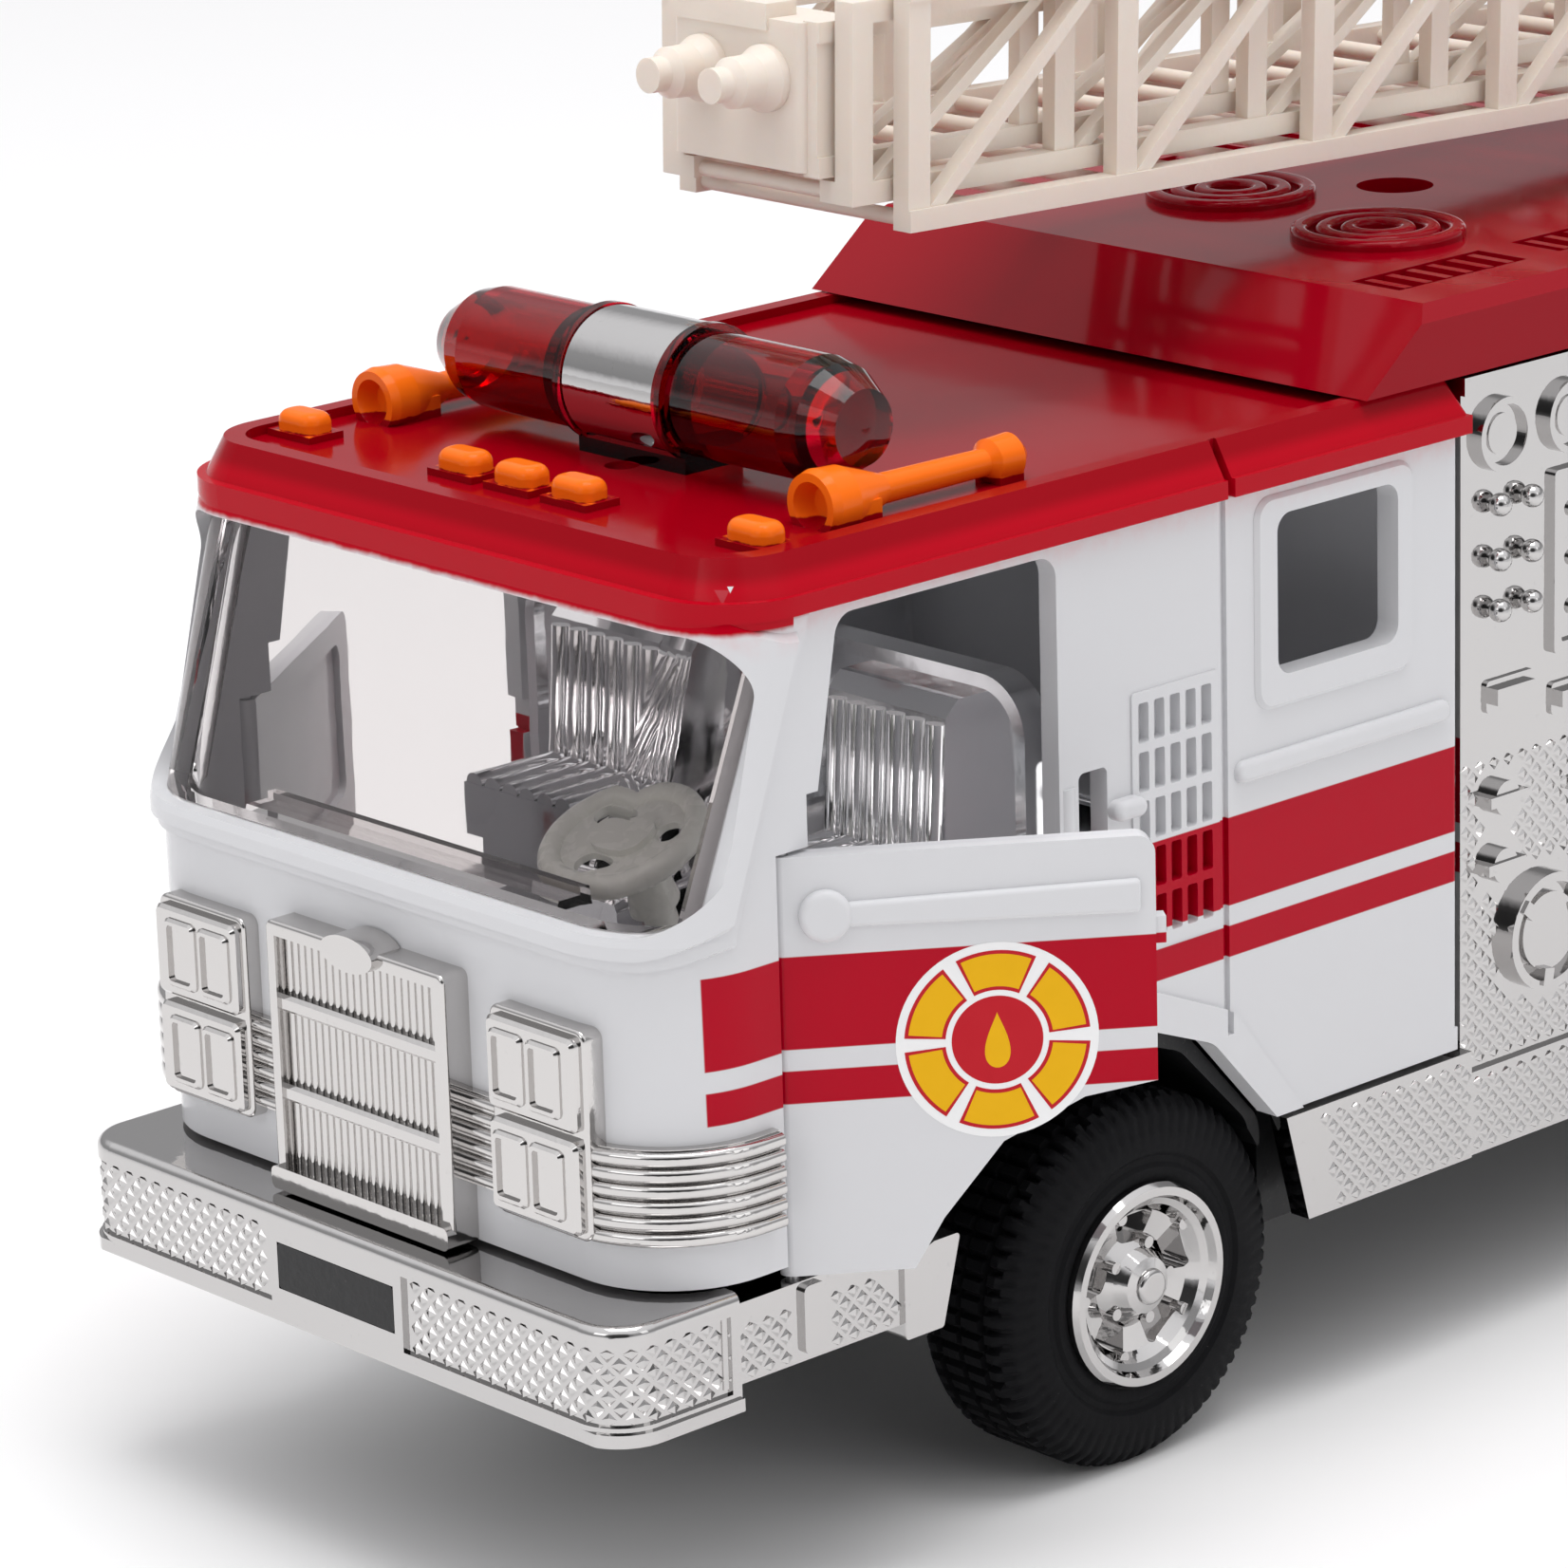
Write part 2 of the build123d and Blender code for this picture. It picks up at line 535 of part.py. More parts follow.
def cab_interior():
    """Chromed insert: floor, dashboard, console, two ribbed seats, hooped bulkhead and benches."""
    floor = plan_prism(rectangle(-25.8, 25.8, 12.0, 78.8), 33.4, 34.4)
    shape = floor + block(-22.5, 22.5, 12.0, 28.0, 33.4, 35.0)
    bulkhead = round_topped(25.2, 34, 58.0, 41.2, 42.6, 4.0)
    hoop = round_topped(25.2, 34, 58.0, 40.7, 43.1, 4.0)
    inside = round_topped(24.2, 30, 57.0, 40, 44, 3.2)
    shape = shape + bulkhead + (hoop - inside)
    for x in (-13.5, 14.5):
        for piece in seat(x, 11.5):
            shape = shape + piece
    dash_side = [(8.6, 41.5), (8.6, 46.3), (10.4, 46.3), (14.5, 43.6), (14.5, 41.5)]
    dash = side_prism(dash_side, -23.5, 23.5)
    dash_leg = block(-22.5, 22.5, 12.0, 14.4, 34.0, 42.0)
    strip = block(-22.0, 9.0, 8.6, 9.8, 46.0, 47.0)
    console = block(-3.4, 3.6, 22.0, 41.5, 34.0, 42.6)
    console = fillet(console.edges().filter_by(Axis.Y).sort_by(Axis.Z)[-2:], 1.0)
    shape = shape + dash + dash_leg + strip + console
    for x, y in ((-1.6, 34.0), (1.8, 34.6), (-1.6, 29.0), (1.8, 27.0)):
        shape = shape + along_z(x, y, 42, 45.6, 0.55) + Pos(x, y, 46.0) * Sphere(1.0)
    for i in range(4):
        shape = shape + along_x(-3.0, 3.2, 24.0 + i * 1.7, 42.6, 0.5)
    column_hole = steering_place() * Cylinder(1.3, 14)
    for y in (50.0, 66.0):
        bench = block(-22, 22, y, y + 9.0, 34.0, 40.5)
        shape = shape + fillet(bench.edges().filter_by(Axis.X), 0.8)
    return shape - column_hole


def steering_place():
    """Foot of the steering column, raked back."""
    return Pos(13.0, 18.0, 46.0) * Rot(24, 0, 0)


def steering_wheel():
    """Rim, pierced disc, hub and column in one milky piece."""
    rim = Torus(4.9, 0.85)
    hub = Cylinder(1.9, 1.5)
    disc = Cylinder(4.6, 0.5)
    holes = None
    for i in range(3):
        cut = Rot(0, 0, 120 * i + 30) * Pos(3.0, 0, 0) * Cylinder(1.0, 2)
        holes = cut if holes is None else holes + cut
    head = Pos(0, 0, 4.8) * (rim + hub + (disc - holes))
    column = Pos(0, 0, -0.6) * Cylinder(1.25, 10.6)
    sleeve = Pos(0, 0, 1.3) * Cone(1.9, 1.5, 3.6)
    return steering_place() * (head + column + sleeve)


# ---- doors -----------------------------------------------------------------------------
def left_door():
    """Half door drawn shut; its front edge is the hinge barrel."""
    leaf = side_prism(door_outline(0), HALF_WIDTH - DOOR_THICK, HALF_WIDTH)
    front_strip = block(20, 30, DOOR_FRONT - 1, HINGE_Y, 20, 60)
    barrel = along_z(HINGE_X, HINGE_Y, DOOR_BOTTOM, DOOR_TOP, DOOR_THICK / 2)
    leaf = (leaf - front_strip) + barrel
    top_corner = leaf.edges().filter_by(Axis.X).sort_by(lambda e: -e.center().Z - e.center().Y)[0]
    leaf = fillet(top_corner, 1.2)
    # grab rail: a round boss at the front and a bar that widens to the rear
    boss = along_x(27.6, 28.75, 19.3, 48.2, 1.75)
    boss = fillet(boss.faces().sort_by(Axis.X)[-1].edges(), 0.5)
    rail = side_prism([(19.5, 47.4), (39.8, 47.1), (39.8, 49.4), (19.5, 49.0)], 27.6, 28.5, 0.3)
    rail = fillet(rail.faces().sort_by(Axis.X)[-1].edges(), 0.35)
    tongue = block(26.6, 27.8, 40.3, 42.1, 44.8, 46.6) & block(26.6, 27.8, 40, 41.5, 40, 60)
    inner = side_prism([(19.5, 37.5), (38.5, 38.8), (38.5, 50.2), (19.5, 50.2)], 26.0, 26.9, 1.0)
    leaf = leaf - inner + boss + rail + tongue
    leaf = leaf - along_z(HINGE_X, HINGE_Y, DOOR_BOTTOM - 1, DOOR_TOP + 1, PIN_R + RUN_GAP)
    return leaf


def opened(shape, angle):
    """Swing a left-hand shape out about the left hinge line."""
    pivot = Pos(HINGE_X, HINGE_Y, 0)
    return pivot * Rot(0, 0, -angle) * Pos(-HINGE_X, -HINGE_Y, 0) * shape


def door_pin():
    return along_z(HINGE_X, HINGE_Y, 22.3, 54.0, PIN_R)


# ---- wheels ----------------------------------------------------------------------------
def tyre(width):
    """Tyre on the x axis with its outer face at x = 0."""
    outer = TYRE_R
    shoulder = outer - 1.1
    profile = [
        (-0.5, RIM_R), (0.0, RIM_R + 0.9), (0.0, RIM_R + 3.0), (-0.5, shoulder - 0.4), (-1.5, outer),
        (-width + 1.5, outer), (-width + 0.5, shoulder - 0.4), (-width, RIM_R + 3.0),
        (-width, RIM_R + 0.9), (-width + 0.5, RIM_R),
    ]
    body = turned(profile)
    step = (width - 3.4) / 3
    for i in range(4):
        x = -width + 1.7 + i * step
        body = body - turned(rectangle(x - 0.3, x + 0.3, outer - 0.7, outer + 1))
    return body


def front_rim(width):
    """Dished rim with a stepped lip, five windows, ten nuts and a domed hub."""
    profile = [
        (-width + 0.8, AXLE_R - PRESS), (-width + 0.8, RIM_R - 1.6), (-width + 0.6, RIM_R - PRESS),
        (0.35, RIM_R - PRESS), (0.75, RIM_R - 0.3), (0.75, RIM_R - 0.9), (0.2, RIM_R - 1.2),
        (-0.1, RIM_R - 1.7), (-0.9, RIM_R - 2.3), (-1.3, 3.4), (-0.5, 2.6), (0.3, 2.0), (0.55, 1.2),
        (0.6, AXLE_R - PRESS),
    ]
    rim = turned(profile)
    for i in range(5):
        wedge = outline([(1.2, 3.0), (2.0, 5.0), (-2.0, 5.0), (-1.2, 3.0)], 0.4)
        pocket = extrude(Plane.YZ.offset(-2.3) * wedge, amount=2.5)
        rim = rim - Rot(72 * i, 0, 0) * pocket
    for i in range(10):
        nut = Pos(-0.7, 0, 0) * along_x(-0.7, 0.35, 0, 2.9 if i % 2 else 5.35, 0.42)
        rim = rim + Rot(36 * i + 18, 0, 0) * nut
    cap = along_x(0.25, 1.0, 0, 0, 1.3)
    return rim + fillet(cap.faces().sort_by(Axis.X)[-1].edges(), 0.4)


def rear_rim():
    """Deep-dished outer wheel with an inner wheel on one long sleeve."""
    inner_out = -TYRE_WIDTH_REAR - TWIN_GAP
    full = inner_out - TYRE_WIDTH_REAR + 0.8
    profile = [
        (full, AXLE_R - PRESS), (full, RIM_R - PRESS), (inner_out - 0.4, RIM_R - PRESS),
        (inner_out, RIM_R - 2.0), (-TYRE_WIDTH_REAR, RIM_R - 2.0),
        (-TYRE_WIDTH_REAR + 0.4, RIM_R - PRESS),
        (0.3, RIM_R - PRESS), (0.7, RIM_R - 0.3), (0.7, RIM_R - 0.9), (0.1, RIM_R - 1.2),
        (-3.2, RIM_R - 1.9), (-3.4, 3.2), (-1.2, 2.6), (-0.4, 2.2), (0.2, 1.4), (0.3, AXLE_R - PRESS),
    ]
    rim = turned(profile)
    for i in range(10):
        nut = along_x(-3.6, -2.6, 0, 4.3, 0.42)
        rim = rim + Rot(36 * i, 0, 0) * nut
    cap = along_x(0.15, 0.85, 0, 0, 1.4)
    return rim + fillet(cap.faces().sort_by(Axis.X)[-1].edges(), 0.4)


def wheel_pair(shape, out, y):
    """One wheel part on each side of an axle."""
    right_hand = Pos(out, y, TYRE_R) * shape
    return [right_hand, mirrored(right_hand)]


def axle(y, out):
    return along_x(-out, out, y, TYRE_R, AXLE_R)


# ---- chassis and pull-back motor -------------------------------------------------------
def wheel_well(middle, inner_x):
    """Black liner that closes the arch above and inside a wheel."""
    outer = arch_prism(-0.1, inner_x, 26.0, 20.0, middle)
    return outer - arch_prism(-1.2, inner_x + 1.1, 30, 0, middle)


def chassis():
    """Moulded base with wheel wells, bearings for both axles and a bay for the motor."""
    beam = block(-15.2, 15.2, 8.0, 140.0, 11.0, 22.4)
    tail = block(-8.9, 8.9, 139.0, 203.4, 11.0, 22.4) + block(-24.0, 24.0, 178.0, 203.4, 13.0, 22.4)
    waist = block(-24.0, 24.0, 64.0, 142.0, 13.0, 22.4)
    nose = block(-25.0, 25.0, 2.6, 26.6, 17.0, 21.6)
    shape = beam + tail + waist + nose
    for piece in (wheel_well(ARCH_MID, 14.6), wheel_well(REAR_WHEEL_Y, 7.9)):
        shape = shape + piece + mirrored(piece)
    hollow = block(-13.6, 13.6, 66.0, 138.0, 9.0, 13.8)
    for y in (84.0, 102.0, 120.0):
        hollow = hollow - block(-14, 14, y, y + 1.4, 9, 14)
    shape = shape - hollow
    bay = MOTOR_HALF + 0.4
    shape = shape - block(-bay, bay, MOTOR_Y0 - 0.2, MOTOR_Y1 + 0.2, 5, 21.4)
    shape = shape - axle_slot(WHEEL_Y, 30) - axle_slot(REAR_WHEEL_Y, 30)
    for y, inner_x in ((WHEEL_Y, 15.9), (REAR_WHEEL_Y, 9.0)):
        room = along_x(inner_x, 30, y, TYRE_R, TYRE_R + 0.7)
        shape = shape - room - mirrored(room)
    for x, y in BASE_SCREWS:
        sunk = screw_level(x) + 1.3
        shape = shape - along_z(x, y, 5, 25, 0.9) - along_z(x, y, 5, sunk, 1.9)
    return shape


def screw_level(x):
    """Height of a screw head: the front pair sits under the lower beam."""
    return 11.3 if abs(x) < 15 else 13.3


def axle_slot(y, out):
    """Open-bottomed bearing: the axle clicks in from below."""
    hole = along_x(-out, out, y, TYRE_R, AXLE_R + RUN_GAP)
    mouth = block(-out, out, y - AXLE_R - 0.03, y + AXLE_R + 0.03, 5, TYRE_R)
    return hole + mouth


def chassis_screws():
    """Four cross-headed screws that hold the base to the body."""
    screws = []
    for x, y in BASE_SCREWS:
        base = screw_level(x)
        head = along_z(x, y, base - 0.2, base + 1.2, 1.7)
        head = head - block(x - 1.2, x + 1.2, y - 0.2, y + 0.2, base - 1, base + 0.3)
        head = head - block(x - 0.2, x + 0.2, y - 1.2, y + 1.2, base - 1, base + 0.3)
        screws.append(head + along_z(x, y, base + 1.0, 22.2, 0.8))
    return screws


def motor_case():
    """Open-topped box round the rear axle, closed by a cover from above."""
    box = block(-MOTOR_HALF, MOTOR_HALF, MOTOR_Y0, MOTOR_Y1, 5.4, 20.0)
    box = fillet(box.edges().filter_by(Axis.Z), 1.5)
    box = box - block(-6.0, 6.0, MOTOR_Y0 + 1.2, MOTOR_Y1 - 1.2, 6.6, 21)
    box = box - along_x(-9, 9, REAR_WHEEL_Y, TYRE_R, AXLE_R + RUN_GAP)
    box = box - along_x(-9, 9, SPRING_Y, TYRE_R, SHAFT_R + PRESS)
    for x, y in MOTOR_SCREWS:
        box = box + along_z(x, y, 6.0, 20.0, 1.1) - along_z(x, y, 12, 21, 0.56)
    return box


def motor_cover():
    lid = block(-MOTOR_HALF, MOTOR_HALF, MOTOR_Y0, MOTOR_Y1, 20.0, 21.2)
    lid = fillet(lid.edges().filter_by(Axis.Z), 1.5)
    for x, y in MOTOR_SCREWS:
        lid = lid - along_z(x, y, 19, 22, 0.65)
    return lid


def gear(teeth, bore, x0, x1, phase):
    """Straight-sided gear about the x axis, with generous backlash."""
    pitch = GEAR_MODULE * teeth / 2
    root = pitch - GEAR_MODULE * 0.95
    tip = pitch + GEAR_MODULE * 0.75
    body = along_x(x0, x1, 0, 0, root)
    half_tooth = GEAR_MODULE * math.pi * 0.18
    foot = half_tooth * 1.24
    point = half_tooth * 0.5
    tooth = [(-foot, root - 0.3), (foot, root - 0.3), (point, tip), (-point, tip)]
    for i in range(teeth):
        blade = extrude(Plane.YZ.offset(x0) * outline(tooth), amount=x1 - x0)
        body = body + Rot(phase + 360 * i / teeth, 0, 0) * blade
    return body - along_x(x0 - 1, x1 + 1, 0, 0, bore)


def axle_gear():
    """Pinion pressed on the rear axle; one tooth gap faces the spring gear."""
    wheel = gear(AXLE_TEETH, AXLE_R, -1.2, 1.6, 90 + 180 / AXLE_TEETH)
    return Pos(0, REAR_WHEEL_Y, TYRE_R) * wheel


def spring_gear():
    """Drum and gear in one; a tooth faces the pinion."""
    wheel = gear(SPRING_TEETH, SHAFT_R + RUN_GAP, -0.8, 1.2, -90)
    drum = along_x(-5.2, -0.8, 0, 0, 4.6) - along_x(-4.9, -1.6, 0, 0, 4.2)
    drum = drum - along_x(-6, 0, 0, 0, SHAFT_R + RUN_GAP)
    return Pos(0, SPRING_Y, TYRE_R) * (wheel + drum)


def motor_shaft():
    return along_x(-7.1, 7.1, SPRING_Y, TYRE_R, SHAFT_R)


def mainspring():
    """Wound spring inside the drum, its turns shown as rings."""
    coil = along_x(-4.7, -1.8, SPRING_Y, TYRE_R, 4.0)
    for radius in (3.5, 2.9, 2.3):
        ring = along_x(-4.8, -4.3, SPRING_Y, TYRE_R, radius) - along_x(-5, -4, SPRING_Y, TYRE_R, radius - 0.22)
        coil = coil - ring
    return coil - along_x(-6, 0, SPRING_Y, TYRE_R, 1.4)


def motor_screws():
    screws = []
    for x, y in MOTOR_SCREWS:
        screws.append(along_z(x, y, 21.2, 21.35, 0.9) + along_z(x, y, 14.0, 21.3, 0.55))
    return screws


# ---- rear body -------------------------------------------------------------------------
def hose_turn(x, y, radius):
    """One turn of the coiled hose moulded on the deck."""
    ring = along_z(x, y, DECK_TOP - 0.3, DECK_TOP + 0.8, radius)
    ring = ring - along_z(x, y, DECK_TOP - 1, DECK_TOP + 2, radius - 1.3)
    return fillet(ring.faces().sort_by(Axis.Z)[-1].edges(), 0.45)


def rear_deck():
    """Red cover over the rear body, with a sloping front."""
    profile = [
        (DECK_FRONT, DECK_BOTTOM), (DECK_FRONT + 7.0, DECK_TOP),
        (DECK_REAR, DECK_TOP), (DECK_REAR, DECK_BOTTOM),
    ]
    deck = side_prism(profile, -27.9, 27.9)
    deck = chamfer(deck.faces().sort_by(Axis.Z)[-1].edges().filter_by(Axis.Y), 1.1)
    hollow = side_prism([(83.0, 70.0), (83.0, 76.0), (204.4, 76.0), (204.4, 70.0)], -26.2, 26.2)
    deck = deck - hollow
    # two coiled hoses, a filler hole, ribbed hatches and the turntable's collar
    for x, y in ((9.0, 93.5), (-9.0, 97.0)):
        for radius in (6.4, 4.6, 2.8):
            deck = deck + hose_turn(x, y, radius)
    deck = deck - along_z(-2.0, 107.5, DECK_TOP - 1.2, DECK_TOP + 1, 2.9)
    for y in (80.5, 97.5, 114.5):
        for side in (-1, 1):
            x = side * 20.5
            deck = deck - block(x - 2.3, x + 2.3, y, y + 13.5, DECK_TOP - 0.6, DECK_TOP + 1)
            for i in range(6):
                rib_y = y + 1.4 + i * 2.15
                rib = block(x - 1.9, x + 1.9, rib_y - 0.4, rib_y + 0.4, DECK_TOP - 0.8, DECK_TOP - 0.05)
                deck = deck + rib
    ring = along_z(0, TURN_Y, DECK_TOP - 0.3, DECK_TOP + 0.6, TURN_R + 1.6)
    ring = ring - along_z(0, TURN_Y, DECK_TOP, DECK_TOP + 2, TURN_R + 0.4)
    deck = deck + ring - along_z(0, TURN_Y, 70, 80, 2.6)
    return deck


def panel_details():
    """Everything that stands out of the left side panel."""
    parts = []
    face = 27.6

    def ring(y, z, outer, inner, height):
        body = along_x(face - 0.3, face + height, y, z, outer)
        return body - along_x(face + 0.15, face + 3, y, z, inner)

    # gauges along the top of the pump panel
    for y in (85.6, 92.9, 100.2):
        parts.append(ring(y, 67.2, 2.7, 2.2, 0.7))
        parts.append(along_x(face - 0.3, face + 0.3, y, 67.2, 1.5))
    # pull knobs
    for row in (62.3, 58.3, 54.6):
        for y in (84.8, 88.2):
            stem = along_x(face - 0.3, face + 0.8, y, row, 0.45)
            parts += [stem, Pos(face + 0.8, y, row) * Sphere(0.85)]
    for y in (104.8, 108.6):
        for row in (62.0, 58.0, 54.0, 50.0):
            parts.append(along_x(face - 0.3, face + 0.7, y, row, 1.0))
    # framed control panel
    frame = side_prism(rectangle(91.0, 103.0, 50.0, 63.5), face - 0.3, face + 0.5, 0.4)
    parts.append(frame - side_prism(rectangle(91.8, 102.2, 50.8, 62.7), face + 0.1, face + 2, 0.2))
    for i in range(4):
        for j in range(3):
            y = 93.6 + i * 2.3
            z = 53.0 + j * 3.6
            parts.append(along_x(face - 0.2, face + 0.55, y, z, 0.6))
    # handles
    for y, z in ((86.6, 48.2), (93.6, 46.6), (99.6, 46.6)):
        parts.append(block(face - 0.3, face + 0.8, y - 2.0, y + 2.0, z - 0.6, z + 0.6))
        parts.append(side_prism(rectangle(y - 2.6, y + 2.6, z - 1.2, z + 1.2), face - 0.3, face + 0.25, 0.4))
    # hose outlets with lugs
    for y, z, r in ((90.4, 29.5, 4.4), (102.5, 33.0, 3.4), (102.5, 22.5, 2.6)):
        parts.append(ring(y, z, r, r - 0.7, 1.0))
        parts.append(along_x(face - 0.3, face + 0.7, y, z, r - 1.5))
        for i in range(3):
            lug = block(-0.6, 0.6, r - 1.7, r - 0.4, -0.5, 0.5)
            parts.append(Pos(face + 0.6, y, z) * Rot(120 * i + 20, 0, 0) * lug)
    # small valves
    for y, z in ((85.6, 40.6), (85.4, 35.6), (95.6, 39.6), (109.0, 40.0)):
        parts.append(along_x(face - 0.3, face + 0.9, y, z, 1.3))
        parts.append(block(face, face + 1.1, y - 2.0, y + 2.0, z - 0.4, z + 0.4))
    # roller-shutter lockers
    for y0, y1, z0 in ((114.0, 139.0, 26.0), (143.5, 176.5, 36.5), (181.0, 200.5, 26.0)):
        edge = side_prism(rectangle(y0, y1, z0, 68.5), face - 0.3, face + 0.45, 0.4)
        parts.append(edge - side_prism(rectangle(y0 + 1.0, y1 - 1.0, z0 + 1.0, 67.5), face + 0.05, face + 2))
        count = int((67.5 - z0 - 1.0) / 1.5)
        pitch = (67.5 - z0 - 1.0) / count
        for i in range(count):
            slat = along_y(face - 0.28, y0 + 0.8, y1 - 0.8, z0 + 1.0 + pitch * (i + 0.5), 0.6)
            parts.append(slat)
        parts.append(along_y(face + 0.5, (y0 + y1) / 2 - 4.5, (y0 + y1) / 2 + 4.5, z0 + 2.2, 0.45))
    return parts


def left_side_panel():
    """Pump panel, lockers, running board and wheel arch trim in one chromed piece."""
    panel = block(26.2, 27.6, PANEL_FRONT, PANEL_REAR, 14.3, 71.9)
    panel = panel - arch_prism(0, 20, 31, 0, REAR_WHEEL_Y)
    skirt = side_prism([(62.6, 22.4), (82.0, 22.4), (82.0, 14.3), (64.8, 14.3)], 26.6, 28.3)
    lower = block(27.0, 28.0, 82.0, 141.6, 14.3, 20.6)
    trim = arch_prism(1.4, 27.0, 28.2, 14.3, REAR_WHEEL_Y) - arch_prism(0, 20, 31, 0, REAR_WHEEL_Y)
    shape = panel + skirt + lower + trim
    for part in panel_details():
        shape = shape + part
    cap = block(26.2, 28.0, PANEL_FRONT, PANEL_REAR, 70.6, 71.9)
    return shape + cap


def rear_panel():
    """Back wall with a roller shutter, two ladders of steps and pockets for the lights."""
    shape = block(-26.1, 26.1, 203.6, 205.6, 14.3, 71.9)
    shutter = front_prism(rectangle(-15, 15, 26, 66), 205.0, 206.1, 0.5)
    shutter = shutter - front_prism(rectangle(-14, 14, 27, 65), 205.7, 208)
    shape = shape + shutter
    for i in range(25):
        shape = shape + along_x(-14, 14, 205.5, 27.8 + i * 1.52, 0.5)
    for side in (-1, 1):
        for z in (30.0, 38.0, 46.0, 54.0, 62.0):
            x = side * 21.0
            shape = shape + block(x - 3.0, x + 3.0, 205.0, 206.8, z - 0.4, z + 0.4)
    for side in (-1, 1):
        x = side * 21.0
        shape = shape - block(x - 3.1, x + 3.1, 205.1, 207.5, 19.4, 26.6)
    return shape


def tail_lights():
    lights = []
    for side in (-1, 1):
        x = side * 21.0
        lens = block(x - 3.0, x + 3.0, 205.1, 206.2, 19.5, 26.5)
        lens = fillet(lens.faces().sort_by(Axis.Y)[-1].edges(), 0.4)
        lights.append(lens)
    return lights


def tailboard():
    board = plan_prism(rectangle(-27.4, 27.4, 205.6, LENGTH), 14.3, 17.4)
    board = fillet(board.edges().filter_by(Axis.Z).sort_by(Axis.Y)[-2:], 2.0)
    well = block(-26.4, 26.4, 206.5, LENGTH - 0.9, 17.1, 18)
    return board - well


# ---- turntable and ladder ----------------------------------------------------------------
def turntable_ring():
    """Low bearing ring that the disc runs on."""
    ring = along_z(0, TURN_Y, DECK_TOP, DECK_TOP + 0.8, TURN_R - 1.0)
    return ring - along_z(0, TURN_Y, DECK_TOP - 1, DECK_TOP + 2, TURN_R - 4.0)


def turntable():
    """Disc with the yoke that carries the ladder's pin."""
    low = DECK_TOP + 0.9
    disc = along_z(0, TURN_Y, low, low + 1.6, TURN_R)
    shape = fillet(disc.faces().sort_by(Axis.Z)[-1].edges(), 0.5)
    cheek_side = [
        (PIVOT_Y - 8.5, low), (PIVOT_Y + 4.4, low), (PIVOT_Y + 3.6, PIVOT_Z + 1.6),
        (PIVOT_Y + 1.6, PIVOT_Z + 3.4), (PIVOT_Y - 1.8, PIVOT_Z + 3.4), (PIVOT_Y - 3.4, PIVOT_Z + 1.6),
    ]
    shape = shape + both_sides(side_prism(cheek_side, 12.5, 14.5))
    shape = shape - along_x(-20, 20, PIVOT_Y, PIVOT_Z, LADDER_PIN_R + PRESS)
    # operator's desk beside the ladder
    desk_side = [(163.5, low), (168.5, low), (168.5, 85.0), (166.8, 87.2), (163.5, 84.6)]
    desk = side_prism(desk_side, -17.2, -13.4, 0.3)
    shape = shape + (desk & along_z(0, TURN_Y, 70, 95, TURN_R - 0.2))
    shape = shape - along_z(0, TURN_Y, 70, 95, 2.6)
    hub = along_z(0, TURN_Y, low, low + 1.6, 3.4) - along_z(0, TURN_Y, 70, 95, STUD_R + RUN_GAP)
    return shape + hub


def turntable_pivot():
    """Headed stud pressed in the deck; the disc turns on it."""
    stud = along_z(0, TURN_Y, 75.0, 80.2, STUD_R)
    head = along_z(0, TURN_Y, 80.2, 80.9, 3.3)
    flange = along_z(0, TURN_Y, 74.6, 75.95, 3.4)
    return stud + head + flange


def ladder_pin():
    """Pin through both cheeks, headed at each end."""
    pin = along_x(-14.9, 14.9, PIVOT_Y, PIVOT_Z, LADDER_PIN_R)
    head = along_x(14.9, 15.6, PIVOT_Y, PIVOT_Z, 2.0)
    tail = along_x(-15.4, -14.9, PIVOT_Y, PIVOT_Z, 1.7)
    return pin + head + tail


def truss_side(x0, x1, front, rear, low, high, rail, post):
    """One side of a ladder section: two rails, posts and rising diagonals."""
    sunk = 0.2
    side = block(x0, x1, front, rear, low, low + rail) + block(x0, x1, front, rear, high - rail, high)
    pitch = (rear - front - post) / BAYS
    for i in range(BAYS + 1):
        y = front + i * pitch
        side = side + block(x0 + (sunk if i else 0), x1 - sunk, y, y + post, low, high)
        if i < BAYS:
            foot = y + post * 0.6
            diagonal = [
                (foot, low + rail * 0.5), (foot + 1.5, low + rail * 0.5),
                (y + pitch + 0.2, high - rail * 0.5), (y + pitch - 1.3, high - rail * 0.5),
            ]
            side = side + side_prism(diagonal, x0 + sunk, x1 - sunk * 1.5)
    return side


def ladder_section(half, thick, front, rear, low, high, rail, post, rungs_z):
    """Two truss sides joined by three rungs to a bay."""
    section = both_sides(truss_side(half - thick, half, front, rear, low, high, rail, post))
    pitch = (rear - front - post) / BAYS
    for i in range(BAYS * 3 + 1):
        y = front + post / 2 + i * pitch / 3
        section = section + along_x(-half + thick - 0.2, half - thick + 0.2, y, rungs_z, 0.55)
    return section


def ladder_outer():
    """Outer section, with the lugs that turn on the ladder's pin."""
    section = ladder_section(front=LADDER_FRONT, rear=1.5, rungs_z=OUTER["low"] + 0.7, **OUTER)
    lug = along_x(9.9, 12.2, 0, 0, 3.2)
    web = side_prism(rectangle(-9, 1.5, LADDER_LOW, LADDER_HIGH), 9.9, OUTER["half"], 0.5)
    section = section + both_sides(lug + web)
    section = section - along_x(-20, 20, 0, 0, LADDER_PIN_R + RUN_GAP)
    # keepers over the top rails stop the middle section lifting out
    for y in (LADDER_FRONT + 20, -30.0, -70.0):
        section = section + block(-11.0, 11.0, y, y + 1.6, LADDER_HIGH - 0.9, LADDER_HIGH)
    return section


